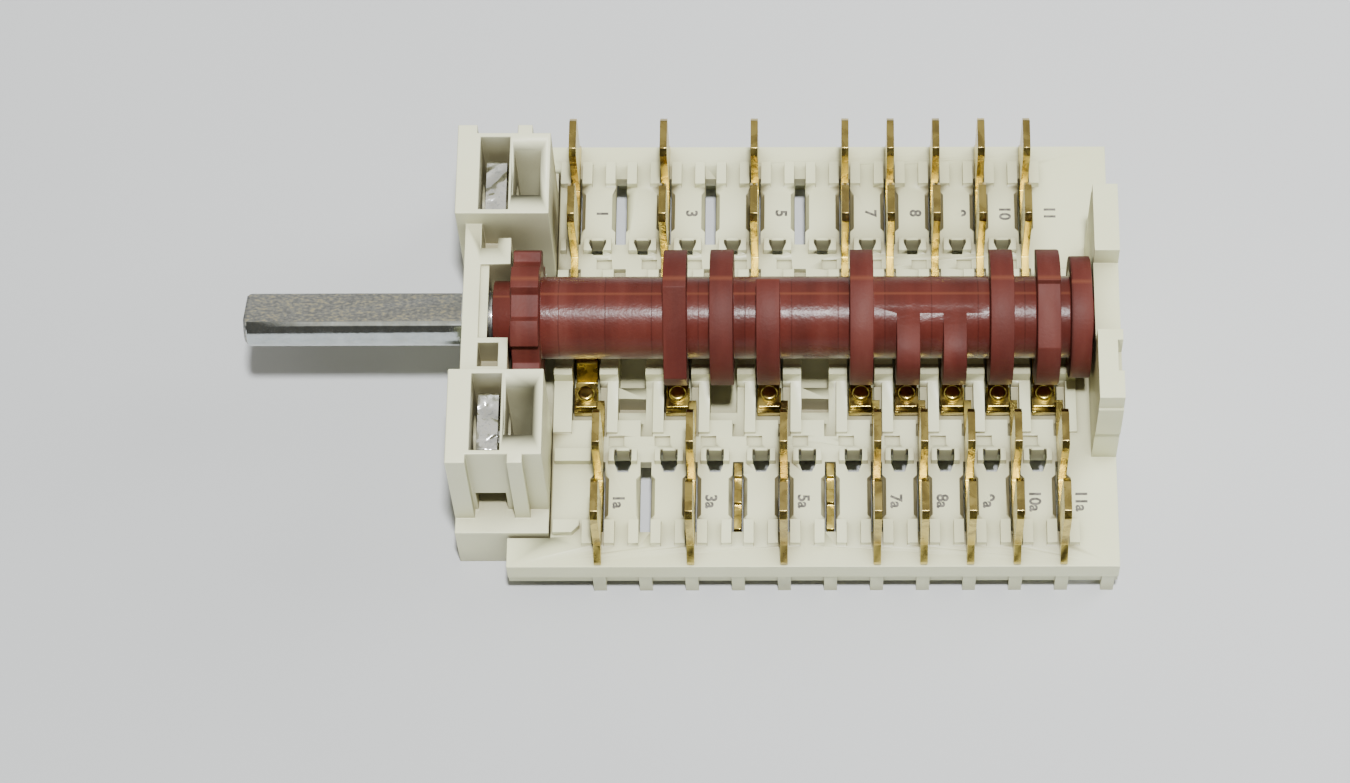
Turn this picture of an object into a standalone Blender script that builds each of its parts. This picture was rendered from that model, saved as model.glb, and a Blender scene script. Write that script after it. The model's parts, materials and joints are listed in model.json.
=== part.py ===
"""Oven selector switch: an open rotary cam switch with eleven cells along one drum.

The switch lies on its back with the drum on top. X runs along the drum and the drive shaft
points to -X, +Y is the far wing and +Z is up. The origin is the middle of the footprint.
"""

import math

import bmesh
import bpy

# Driving dimensions, in metres.

# Row of cells.
CELL_PITCH = 0.0050
CELL_COUNT = 11
WIRED_CELLS = (1, 3, 5, 7, 8, 9, 10, 11)
LINKED_CELLS = (4, 6)
CELL_WIDTH = 0.0030
TERMINAL_OFFSET = 0.00165

# Lengths along X, from the shaft tip to the right end of the base.
SHAFT_REACH = 0.0227
BRACKET_LENGTH = 0.0101
JOINT_GAP = 0.0001
FRONT_MARGIN = 0.00355
RIGHT_MARGIN = 0.0077

# Clearances.
SEAT_GAP = 0.0001
SLOT_GAP = 0.00025
RUNNING_GAP = 0.0003

# Base moulding.
BASE_HALF_WIDTH = 0.0257
WING_TOP = 0.0070
DECK_WALL = 0.0016
SIDE_WALL = 0.0015
SIDE_DROP = 0.0047
BAND_HEIGHT = 0.0028
BAND_RECESS = 0.0004
CORE_HALF_WIDTH = 0.0104
CORE_BOTTOM = 0.0008
CELL_FLOOR = 0.0030
CELL_HALF_LENGTH = 0.0083
CROSS_WALLED_CELLS = (2, 6)
CROSS_WALL_INNER = 0.0039
CROSS_WALL_OUTER = 0.0052
SHELF_EDGE = 0.0069
SHELF_DROP = 0.0011
RIB_WIDTH = 0.0014
CORNER_REACH = 0.0046
PARTITION_RISE = 0.0022
PARTITION_FOOT_RISE = 0.0005
PARTITION_INNER = 0.0026
PARTITION_OUTER = 0.0038
PARTITION_TIP = 0.0003
GROOVE_DROP = 0.0010
GROOVE_INNER = 0.0039
GROOVE_LEAD = 0.00045

# Openings, ridges and pads of the wings. The rows are set out inwards from the side walls.
SLOT_MARGIN = 0.0041
SLOT_WIDTH = 0.0012
SLOT_END = 0.0020
SLOT_EYE_LENGTH = 0.0043
SLOT_EYE_WIDTH = 0.0022
SLOT_EYE_FOOT = 0.0014
SLOT_EYE_DEPTH = 0.0009
HOLE_WIDTH = 0.0019
HOLE_TIP_WIDTH = 0.0011
HOLE_TAPER = 0.0010
HORN_WIDTH = 0.00027
HORN_LENGTH = 0.0006
FAR_HOLE_LEAD = 0.0013
FAR_HOLE_LENGTH = 0.0013
NEAR_HOLE_LEAD = 0.0009
NEAR_HOLE_LENGTH = 0.0021
RIDGE_LEAD = 0.0012
RIDGE_WIDTH = 0.0015
RIDGE_RISE = 0.0010
RIDGE_GAP = 0.0003
RIDGE_CHAMFER = 0.0008
PAD_MARGIN = 0.0024
PAD_LENGTH = 0.0028
PAD_WIDTH = 0.0011
PAD_RISE = 0.0010

# End wall with the rear bearing.
END_WALL = 0.0027
END_WALL_HALF_WIDTH = 0.0131
END_WALL_RISE = 0.0150
END_NOTCH_HALF_WIDTH = 0.0047
END_CAP_RISE = 0.0036
END_BAND_TOP = 0.0125
END_BAND_BOTTOM = 0.0065
END_BAND_STEP = 0.0003
END_RECESS_INNER = 0.0060
END_RECESS_OUTER = 0.0096
END_RECESS_DEPTH = 0.0006

# Cam drum.
AXIS_RISE = 0.0084
CORE_RADIUS = 0.00445
CAM_RADIUS = 0.00735
CAM_WIDTH = 0.0025
FRONT_JOURNAL_RADIUS = 0.0040
FRONT_JOURNAL_LENGTH = 0.0021
WHEEL_RADIUS = 0.0073
WHEEL_WIDTH = 0.0030
WHEEL_SETBACK = 0.0008
WHEEL_TEETH = 7
WHEEL_TOOTH_DEG = 22.5
WHEEL_FIRST_TOOTH_DEG = 11.2
WHEEL_NOTCH = 0.0011
WHEEL_NOTCH_LEAD_DEG = 3.0
END_DISC_RADIUS = 0.0066
END_DISC_WIDTH = 0.0022
END_DISC_GAP = 0.0004
REAR_JOURNAL_RADIUS = 0.0025
REAR_JOURNAL_LENGTH = 0.0020
VALLEY_SINK = 0.0004
CAM_STEP = 0.0007
CAM_GAP_DEG = 30.0
CAM_FAR_END_DEG = 68.0
CAM_ARC_DEG = 15.0
VALLEY_ARC_DEG = 45.0
CAM_1_EDGE_DEG = 118.0
CAM_3_FLAT_DEG = 90.0
CAM_5_EDGE_DEG = 7.7
CAM_7_FLAT_DEG = 32.0
RAMP_FOOT_DEG = 20.0
RAMP_HEAD_DEG = 75.0
RAMP_STEPS = 6
CAM_11_EDGES_DEG = (5.7, -24.9, -53.5)

# Drive shaft.
SHAFT_RADIUS = 0.0030
SHAFT_FLAT = 0.0016
SHAFT_FLAT_MARGIN = 0.0002
SHAFT_FLAT_DEG = 28.0
SHAFT_CHAMFER = 0.0004
STUB_RADIUS = 0.0018
STUB_LENGTH = 0.0110
BORE_GAP = 0.0002
WASHER_RADIUS = 0.0028
WASHER_THICKNESS = 0.0003

# Front bracket.
EAR_INNER = 0.0093
EAR_OUTER = 0.0192
EAR_RISE = 0.0150
POST_REACH = 0.0010
FRONT_CORNER_WIDTH = 0.0037
FLANK_RISE = 0.0007
BRIDGE_DROP = 0.0024
WALL_SETBACK = 0.0010
FRONT_WALL = 0.0018
BRACKET_FLOOR = 0.0018
SADDLE_INNER = 0.0044
SADDLE_CAP_RISE = 0.0038
SADDLE_RIM = 0.0006
SADDLE_WEB = 0.0010
SADDLE_POCKET_FLOOR = 0.0150
NEAR_POCKET_LENGTH = 0.0028
FAR_POCKET_INNER = 0.0063
FAR_LUG_LENGTH = 0.0014
FAR_LUG_OUTER = 0.0076
FAR_NOTCH_FLOOR = 0.0110
FRONT_POST_WIDTH = 0.0021
REAR_POST_WIDTH = 0.0016
REAR_POST_INSET = 0.0020

# Screw fixing: two M4 nuts in the ears.
SCREW_PITCH = 0.0280
SCREW_HOLE_RADIUS = 0.0022
NUT_FLATS = 0.0070
NUT_THICKNESS = 0.0022
NUT_BORE_RADIUS = 0.0019
EAR_FRONT_WALL = 0.0025
NUT_SLOT_WIDTH = 0.0032
NUT_SLOT_WALL = 0.0005
POCKET_WIDTH = 0.0029
POCKET_INNER = 0.0115
POCKET_OUTER = 0.0170
POCKET_FLOOR = 0.0045
WINDOW_HEIGHT = 0.0043
WINDOW_DEPTH = 0.0030

# Terminals, measured outwards from the drum axis.
BLADE_THICKNESS = 0.0008
TAB_WIDTH = 0.0048
TAB_RISE = 0.0099
TAB_CHAMFER = 0.0007
TAB_MARGIN = 0.0015
TAB_PITCH = 0.0081
BLADE_STRIP = 0.0012
FOOT_SLOPE_RISE = 0.0012
FOOT_END_RISE = 0.0006
FOOT_MARGIN = 0.0002
BLADE_TAIL = 0.0063
FLANGE_OUTER = 0.0074
FLANGE_INNER = 0.0044
FLANGE_HALF_WIDTH = 0.0013
TONGUE_DROP = 0.0024
LINK_STEPS = 5
LINK_VALLEY_DROP = 0.0005

# Contact springs, rivets and contacts.
SPRING_THICKNESS = 0.0003
SPRING_GAP = 0.0002
SPRING_TAIL = 0.0014
SPRING_TIP = 0.0010
RIVET_SEAT = 0.0055
RIVET_SHANK_RADIUS = 0.0005
RIVET_HOLE_RADIUS = 0.00075
RIVET_HEAD_RADIUS = 0.00095
RIVET_HEAD_HEIGHT = 0.0006
RIVET_DOME_RADIUS = 0.0006
RIVET_DOME_HEIGHT = 0.0005
RIVET_FOOT_RADIUS = 0.00075
RIVET_FOOT_HEIGHT = 0.0003
CONTACT_RADIUS = 0.00095
CONTACT_HEIGHT = 0.00045
CONTACT_FOOT_RADIUS = 0.0007
CONTACT_FOOT_HEIGHT = 0.00018
CONTACT_GAP_CLOSED = 0.00010
ARM_SWING_DEG = 5.5
HUMP_GAP = 0.0003
HUMP_NEAR = 0.0016
HUMP_FAR = 0.0002
HUMP_CROWN = 0.0001
DIP_DEPTH = 0.0019
DIP_START = 0.00025
DIP_LEAD = 0.00065
DIP_LENGTH = 0.0005
SPRING_KNEE = 0.0023
SPRING_KNEE_RISE = 0.0004

# Detent spring under the front wheel.
DETENT_WIDTH = 0.0024
DETENT_THICKNESS = 0.0003
DETENT_LEDGE = 0.0020
DETENT_LEDGE_TOP = 0.0058
DETENT_ENTRY = 0.0005
DETENT_CREST_HALF = 0.0006
DETENT_CREST_RISE = 0.0011
DETENT_SHOULDER = 0.0018

# Sizes that follow from the driving dimensions.
LENGTH = (SHAFT_REACH + BRACKET_LENGTH + JOINT_GAP + FRONT_MARGIN
          + (CELL_COUNT - 1) * CELL_PITCH + RIGHT_MARGIN)
SHAFT_TIP = -LENGTH / 2
BRACKET_FRONT = SHAFT_TIP + SHAFT_REACH
BRACKET_BACK = BRACKET_FRONT + BRACKET_LENGTH
BASE_FRONT = BRACKET_BACK + JOINT_GAP
FIRST_CELL = BASE_FRONT + FRONT_MARGIN
BASE_END = LENGTH / 2
AXIS_Z = WING_TOP + AXIS_RISE
DECK_UNDERSIDE = WING_TOP - DECK_WALL
FLANGE_TOP = WING_TOP
FLANGE_UNDERSIDE = FLANGE_TOP - BLADE_THICKNESS
WHEEL_BACK = BRACKET_BACK - WHEEL_SETBACK
WHEEL_FRONT = WHEEL_BACK - WHEEL_WIDTH
JOURNAL_FRONT = WHEEL_FRONT - FRONT_JOURNAL_LENGTH
WALL_FRONT = BRACKET_FRONT + WALL_SETBACK
WALL_BACK = WALL_FRONT + FRONT_WALL
EAR_TOP = WING_TOP + EAR_RISE
LEDGE_TOP = WING_TOP + FLANK_RISE
BRIDGE_TOP = EAR_TOP - BRIDGE_DROP
FLANK_OUTER = BASE_HALF_WIDTH - FRONT_CORNER_WIDTH
POST_OUTER = EAR_OUTER + POST_REACH
END_WALL_X = BASE_END - END_WALL
SLOT_OUTER = BASE_HALF_WIDTH - SLOT_MARGIN
SLOT_EYE_OUTER = SLOT_OUTER - SLOT_END
SLOT_EYE_INNER = SLOT_EYE_OUTER - SLOT_EYE_LENGTH
SLOT_INNER = SLOT_EYE_INNER - SLOT_END
RIDGE_INNER = SLOT_INNER - RIDGE_LEAD
PAD_OUTER = BASE_HALF_WIDTH - PAD_MARGIN
PAD_INNER = PAD_OUTER - PAD_LENGTH
OUTER_TAB = BASE_HALF_WIDTH - TAB_MARGIN - TAB_WIDTH / 2
INNER_TAB = OUTER_TAB - TAB_PITCH
BLADE_FOOT = BASE_HALF_WIDTH - FOOT_MARGIN
GROOVE_OUTER = (BLADE_TAIL + SLOT_INNER) / 2 + GROOVE_LEAD
PARTITION_FOOT = GROOVE_OUTER - PARTITION_TIP
SPRING_WIDTH = 2 * (TERMINAL_OFFSET - BLADE_THICKNESS / 2 - SEAT_GAP)
NUT_SLOT_FRONT = BRACKET_FRONT + EAR_FRONT_WALL
NUT_SLOT_BACK = NUT_SLOT_FRONT + NUT_SLOT_WIDTH

# Facets of round pieces, and how far a cutter or a joined shape reaches past its face.
SIDES_SMALL = 8
SIDES_BORE = 16
SIDES_ROUND = 24
SIDES_DRUM = 32
REACH = 0.0010


def cell_x(number):
    """The middle of a cell along X; the cells are numbered from 1 at the shaft end."""
    return FIRST_CELL + (number - 1) * CELL_PITCH


def terminal_x(number, side):
    """A terminal stands off its cell's middle; the near row is the far row turned half round."""
    return cell_x(number) - side * TERMINAL_OFFSET


# Scene, collections and materials.

for old in list(bpy.data.objects):
    bpy.data.objects.remove(old, do_unlink=True)

parts = bpy.data.collections.new("oven_selector_switch")
helpers = bpy.data.collections.new("cutters")
bpy.context.scene.collection.children.link(parts)
bpy.context.scene.collection.children.link(helpers)


def make_material(name, colour, roughness, metallic=0.0):
    material = bpy.data.materials.new(name)
    material.use_nodes = True
    shader = material.node_tree.nodes["Principled BSDF"]
    shader.inputs["Base Color"].default_value = (*colour, 1.0)
    shader.inputs["Roughness"].default_value = roughness
    shader.inputs["Metallic"].default_value = metallic
    return material


cream = make_material("cream_moulding", (0.76, 0.77, 0.66), 0.45)
ivory = make_material("ivory_moulding", (0.80, 0.80, 0.70), 0.42)
drum_red = make_material("red_brown_moulding", (0.22, 0.045, 0.035), 0.38)
zinc = make_material("zinc_plated_steel", (0.62, 0.64, 0.66), 0.30, 1.0)
bright_steel = make_material("bright_steel", (0.72, 0.73, 0.74), 0.22, 1.0)
brass = make_material("brass_sheet", (0.72, 0.55, 0.24), 0.34, 1.0)
rivet_brass = make_material("brass_rivet", (0.66, 0.49, 0.20), 0.28, 1.0)
silver = make_material("silver_contact", (0.83, 0.82, 0.79), 0.25, 1.0)


# Modelling helpers.

def place(item, collection):
    """Moves an object from whatever collection it was made in to the given one."""
    for owner in list(item.users_collection):
        owner.objects.unlink(item)
    collection.objects.link(item)


def as_helper(item):
    """A cutter, or a shape that is only joined to a part, isn't part of the object."""
    place(item, helpers)
    item.hide_render = True
    item.display_type = "WIRE"
    return item


def as_part(item, name, material):
    """Names an object as a sub-part and gives it its material."""
    place(item, parts)
    item.name = name
    item.data.name = name
    item.data.materials.clear()
    item.data.materials.append(material)
    return item


def smooth(item, angle=35.0):
    item.data.shade_smooth()
    item.data.set_sharp_from_angle(angle=math.radians(angle))
    return item


def rectangle(left, right, low, high):
    return [(left, low), (right, low), (right, high), (left, high)]


def mirrored(half):
    """Completes a closed outline from the points of its positive side, top to bottom."""
    return half + [(-a, b) for a, b in reversed(half)]


ALONG = {
    "X": ((math.pi / 2, 0, math.pi / 2), lambda middle: (middle, 0, 0)),
    "Y": ((math.pi / 2, 0, 0), lambda middle: (0, middle, 0)),
    "Z": ((0, 0, 0), lambda middle: (0, 0, middle)),
}


def extruded(name, outlines, axis, low, high):
    """Flat outlines extruded from low to high along an axis, as one mesh.

    Along X an outline's points are (y, z), along Y they are (x, z), along Z they are (x, y).
    """
    turn, spot = ALONG[axis]
    curve = bpy.data.curves.new(name, "CURVE")
    curve.dimensions = "2D"
    curve.fill_mode = "BOTH"
    curve.extrude = (high - low) / 2
    for points in outlines:
        spline = curve.splines.new("POLY")
        spline.points.add(len(points) - 1)
        for point, (a, b) in zip(spline.points, points):
            point.co = (a, b, 0, 1)
        spline.use_cyclic_u = True
    flat = bpy.data.objects.new(name, curve)
    helpers.objects.link(flat)
    flat.rotation_euler = turn
    flat.location = spot((low + high) / 2)
    bpy.context.view_layer.update()
    evaluated = flat.evaluated_get(bpy.context.evaluated_depsgraph_get())
    mesh = bpy.data.meshes.new_from_object(evaluated)
    cage = bmesh.new()
    cage.from_mesh(mesh)
    bmesh.ops.remove_doubles(cage, verts=cage.verts, dist=0.000001)
    cage.to_mesh(mesh)
    cage.free()
    solid = bpy.data.objects.new(name, mesh)
    helpers.objects.link(solid)
    solid.matrix_world = flat.matrix_world.copy()
    bpy.data.objects.remove(flat, do_unlink=True)
    bpy.data.curves.remove(curve)
    return solid


def lofted(name, pairs, low, high):
    """Solids between a lower and an upper outline of as many points, as one mesh."""
    cage = bmesh.new()
    for bottom, top in pairs:
        under = [cage.verts.new((a, b, low)) for a, b in bottom]
        over = [cage.verts.new((a, b, high)) for a, b in top]
        cage.faces.new(under)
        cage.faces.new(over)
        for index in range(len(under)):
            after = (index + 1) % len(under)
            cage.faces.new((under[index], under[after], over[after], over[index]))
    bmesh.ops.recalc_face_normals(cage, faces=cage.faces)
    mesh = bpy.data.meshes.new(name)
    cage.to_mesh(mesh)
    cage.free()
    solid = bpy.data.objects.new(name, mesh)
    helpers.objects.link(solid)
    return solid


def rod(name, radius, low, high, y, z, sides=SIDES_ROUND):
    """A cylinder along X."""
    bpy.ops.mesh.primitive_cylinder_add(
        vertices=sides, radius=radius, depth=high - low,
        location=((low + high) / 2, y, z), rotation=(0, math.pi / 2, 0))
    item = bpy.context.object
    item.name = name
    return item


def pin(name, radius, low, high, x, y, sides=SIDES_SMALL):
    """A cylinder along Z."""
    bpy.ops.mesh.primitive_cylinder_add(
        vertices=sides, radius=radius, depth=high - low, location=(x, y, (low + high) / 2))
    item = bpy.context.object
    item.name = name
    return item


def turned(name, profile, x, y, z, sides=SIDES_SMALL):
    """A profile of (radius, height), top to bottom, turned about a vertical axis."""
    mesh = bpy.data.meshes.new(name)
    points = [(radius, 0, height) for radius, height in profile]
    edges = [(n, n + 1) for n in range(len(profile) - 1)]
    mesh.from_pydata(points, edges, [])
    item = bpy.data.objects.new(name, mesh)
    helpers.objects.link(item)
    item.location = (x, y, z)
    screw = item.modifiers.new("turn", "SCREW")
    screw.axis = "Z"
    screw.steps = sides
    screw.render_steps = sides
    screw.use_merge_vertices = True
    screw.merge_threshold = 0.000001
    return item


def boolean(target, tool, operation):
    as_helper(tool)
    step = target.modifiers.new(tool.name, "BOOLEAN")
    step.solver = "EXACT"
    step.operation = operation
    step.object = tool


def cut(target, *tools):
    for tool in tools:
        boolean(target, tool, "DIFFERENCE")


def join(target, *tools):
    for tool in tools:
        boolean(target, tool, "UNION")


def arc(radius, start, end, steps, centre=(0, 0)):
    """Points on a circle about the centre; degrees run from the top towards the far side."""
    points = []
    for step in range(steps + 1):
        turn = math.radians(start + (end - start) * step / steps)
        points.append((centre[0] + radius * math.sin(turn), centre[1] + radius * math.cos(turn)))
    return points


def strip_outline(path, thickness):
    """The outline of a bent strip: its path, moved half a thickness to each side."""
    left, right = [], []
    for index, (a, b) in enumerate(path):
        before = path[max(index - 1, 0)]
        after = path[min(index + 1, len(path) - 1)]
        directions = []
        for start, end in ((before, (a, b)), ((a, b), after)):
            span = math.hypot(end[0] - start[0], end[1] - start[1])
            if span > 0:
                directions.append(((end[0] - start[0]) / span, (end[1] - start[1]) / span))
        along = (sum(d[0] for d in directions), sum(d[1] for d in directions))
        length = math.hypot(*along)
        normal = (-along[1] / length, along[0] / length)
        cosine = -normal[0] * directions[0][1] + normal[1] * directions[0][0]
        reach = thickness / 2 / cosine
        left.append((a + normal[0] * reach, b + normal[1] * reach))
        right.append((a - normal[0] * reach, b - normal[1] * reach))
    return left + right[::-1]


def pivot(name, x, y, z, items):
    """An empty on a joint's axis that carries the pieces turning about it."""
    empty = bpy.data.objects.new(name, None)
    parts.objects.link(empty)
    empty.location = (x, y, z)
    empty.empty_display_size = 0.002
    bpy.context.view_layer.update()
    for item in items:
        item.parent = empty
        item.matrix_parent_inverse = empty.matrix_world.inverted()


# Base moulding.

def wing_profile(inner):
    """One wing's section outwards from inner: deck, side wall and its recessed lower band."""
    wall = BASE_HALF_WIDTH
    band_bottom = WING_TOP - BAND_HEIGHT
    foot = WING_TOP - SIDE_DROP
    return [
        (inner, WING_TOP),
        (wall, WING_TOP),
        (wall, band_bottom),
        (wall - BAND_RECESS, band_bottom),
        (wall - BAND_RECESS, foot),
        (wall - SIDE_WALL, foot),
        (wall - SIDE_WALL, DECK_UNDERSIDE),
        (inner, DECK_UNDERSIDE),
    ]


def base_section():
    half = wing_profile(CORE_HALF_WIDTH)[1:] + [(CORE_HALF_WIDTH, CORE_BOTTOM)]
    return mirrored(half)


def partition_section():
    """The top of a partition: two horns beside the drum, and a low foot out onto each wing."""
    horn = WING_TOP + PARTITION_RISE
    foot = WING_TOP + PARTITION_FOOT_RISE
    half = [
        (PARTITION_INNER, foot),
        (PARTITION_INNER, horn),
        (PARTITION_OUTER, horn),
        (PARTITION_OUTER, foot),
        (PARTITION_FOOT, foot),
        (PARTITION_FOOT, DECK_UNDERSIDE),
    ]
    return mirrored(half)


def end_wall_section():
    """The end wall: two blocks over the drum's rear bearing."""
    top = WING_TOP + END_WALL_RISE
    side = END_WALL_HALF_WIDTH - END_BAND_STEP
    half = [
        (END_NOTCH_HALF_WIDTH, AXIS_Z + END_CAP_RISE),
        (END_NOTCH_HALF_WIDTH, top),
        (side, top),
        (side, WING_TOP - DECK_WALL / 2),
    ]
    return mirrored(half)


def eye_outline(x, side, wide):
    """The eye round a terminal slot, wide across and tapering into the slot at both ends."""
    narrow = SLOT_WIDTH / 4
    lead = wide - narrow
    half = [
        (narrow, SLOT_EYE_OUTER + lead),
        (wide, SLOT_EYE_OUTER),
        (wide, SLOT_EYE_INNER),
        (narrow, SLOT_EYE_INNER - lead),
    ]
    return [(x + a, side * b) for a, b in mirrored(half)]


def hole_outline(x, side):
    """A hole between two terminals: two horns on its far end, and tapered towards -Y."""
    lead, length = FAR_HOLE_LEAD, FAR_HOLE_LENGTH
    if side < 0:
        lead, length = NEAR_HOLE_LEAD, NEAR_HOLE_LENGTH
    inner = side * (SLOT_INNER - lead)
    outer = inner + side * length
    low, high = sorted((inner, outer))
    wide = HOLE_WIDTH / 2
    tip = HOLE_TIP_WIDTH / 2
    half = [
        (wide - HORN_WIDTH, high),
        (wide - HORN_WIDTH, high + HORN_LENGTH),
        (wide, high + HORN_LENGTH),
        (wide, max(low + HOLE_TAPER, high - HOLE_TAPER)),
        (tip, low),
    ]
    return [(x + a, b) for a, b in mirrored(half)]


def ridge_outlines():
    """A ridge along each wing, open at the terminals, and a second one in the near margin."""
    outlines = []
    start = BASE_FRONT + RIDGE_GAP
    half = BLADE_THICKNESS / 2 + SLOT_GAP + RIDGE_GAP
    for side in (1, -1):
        low, high = sorted((side * RIDGE_INNER, side * (RIDGE_INNER + RIDGE_WIDTH)))
        edges = [start]
        for number in range(1, CELL_COUNT + 1):
            edges += [terminal_x(number, side) - half, terminal_x(number, side) + half]
        for left, right in zip(edges[0:-1:2], edges[1::2]):
            outlines.append(rectangle(left, right, low, high))
    end = terminal_x(1, -1) - half - PAD_WIDTH
    outer = PAD_INNER + RIDGE_WIDTH
    outlines.append([(start, -outer), (end - RIDGE_CHAMFER, -outer),
                     (end, -outer + RIDGE_CHAMFER), (end, -PAD_INNER), (start, -PAD_INNER)])
    return outlines


def side_rectangle(x, half_width, inner, outer, side):
    low, high = sorted((side * inner, side * outer))
    return rectangle(x - half_width, x + half_width, low, high)


def make_base():
    base = extruded("base_moulding", [base_section()], "X", BASE_FRONT, BASE_END)
    cells = range(1, CELL_COUNT + 1)
    tall = WING_TOP + END_WALL_RISE + REACH

    corner_inner = FLANK_OUTER + RUNNING_GAP
    corners = []
    for side in (1, -1):
        corners.append([(side * a, b) for a, b in wing_profile(corner_inner)])
    join(base, extruded("front_corners", corners, "X", BASE_FRONT - CORNER_REACH, BASE_FRONT + REACH))

    partition_width = CELL_PITCH - CELL_WIDTH
    for number in range(CELL_COUNT + 1):
        middle = cell_x(number) + CELL_PITCH / 2
        low = max(middle - partition_width / 2, BASE_FRONT)
        join(base, extruded(f"partition_{number}", [partition_section()], "X",
                            low, middle + partition_width / 2))
    join(base, extruded("end_wall", [end_wall_section()], "X", END_WALL_X, BASE_END))
    bands = []
    for side in (1, -1):
        inner, outer = sorted((side * (END_WALL_HALF_WIDTH - END_WALL / 2),
                               side * END_WALL_HALF_WIDTH))
        bands.append(rectangle(inner, outer, WING_TOP + END_BAND_BOTTOM, WING_TOP + END_BAND_TOP))
    join(base, extruded("end_bands", bands, "X", END_WALL_X, BASE_END))
    join(base, extruded("ridges", ridge_outlines(), "Z", WING_TOP - DECK_WALL / 2,
                        WING_TOP + RIDGE_RISE))

    ribs = []
    pads = []
    slots = []
    eyes = []
    holes = []
    grooves = []
    for side in (1, -1):
        rib_outer = BASE_HALF_WIDTH - BAND_RECESS / 2
        for number in range(1, CELL_COUNT + 2):
            x = terminal_x(number, side) if side < 0 else terminal_x(number - 1, side)
            ribs.append(side_rectangle(x, RIB_WIDTH / 2, rib_outer - SIDE_WALL, rib_outer, side))
        for number in cells:
            x = terminal_x(number, side)
            gap = BLADE_THICKNESS / 2 + SLOT_GAP
            for hand in (1, -1):
                middle = x + hand * (gap + PAD_WIDTH / 2)
                pads.append(side_rectangle(middle, PAD_WIDTH / 2, PAD_INNER, PAD_OUTER, side))
            slots.append(side_rectangle(x, SLOT_WIDTH / 2, SLOT_INNER, SLOT_OUTER, side))
            eyes.append((eye_outline(x, side, SLOT_EYE_FOOT / 2),
                         eye_outline(x, side, SLOT_EYE_WIDTH / 2)))
            grooves.append(side_rectangle(x, gap, GROOVE_INNER, GROOVE_OUTER, side))
            if number < CELL_COUNT:
                between = x + CELL_PITCH / 2
                holes.append(hole_outline(between, side))
    join(base, extruded("ribs", ribs, "Z", 0, DECK_UNDERSIDE + REACH / 2))
    join(base, extruded("pads", pads, "Z", WING_TOP - DECK_WALL / 2, WING_TOP + PAD_RISE))

    deep = []
    for number in cells:
        left, right = cell_x(number) - CELL_WIDTH / 2, cell_x(number) + CELL_WIDTH / 2
        if number in CROSS_WALLED_CELLS:
            deep.append(rectangle(left, right, -SHELF_EDGE, -CROSS_WALL_OUTER))
            deep.append(rectangle(left, right, -CROSS_WALL_INNER, SHELF_EDGE))
        else:
            deep.append(rectangle(left, right, -SHELF_EDGE, SHELF_EDGE))
    shelves = [rectangle(cell_x(n) - CELL_WIDTH / 2, cell_x(n) + CELL_WIDTH / 2,
                         -CELL_HALF_LENGTH, CELL_HALF_LENGTH) for n in cells]
    cut(base,
        extruded("cell_wells", deep, "Z", CELL_FLOOR, tall),
        extruded("cell_shelves", shelves, "Z", WING_TOP - SHELF_DROP, tall),
        extruded("blade_grooves", grooves, "Z", WING_TOP - GROOVE_DROP, tall),
        extruded("terminal_slots", slots, "Z", 0, tall),
        lofted("slot_eyes", eyes, WING_TOP - SLOT_EYE_DEPTH, WING_TOP + REACH / 5),
        extruded("horned_holes", holes, "Z", 0, tall),
        rod("rear_bearing", REAR_JOURNAL_RADIUS + RUNNING_GAP, END_WALL_X - REACH,
            BASE_END + REACH, 0, AXIS_Z),
        extruded("end_recess", [rectangle(BASE_END - END_RECESS_DEPTH, BASE_END + REACH,
                                          -END_RECESS_OUTER, -END_RECESS_INNER)], "Z",
                 AXIS_Z + END_CAP_RISE, tall))
    return as_part(base, "base_moulding", cream)


# Front bracket.

def bracket_section():
    """The bracket seen along the shaft: flanks, ears and the bridge between them."""
    half = [
        (EAR_INNER, BRIDGE_TOP),
        (EAR_INNER, EAR_TOP),
        (POST_OUTER, EAR_TOP),
        (POST_OUTER, LEDGE_TOP),
        (FLANK_OUTER, LEDGE_TOP),
        (FLANK_OUTER, 0),
    ]
    return mirrored(half)


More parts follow.
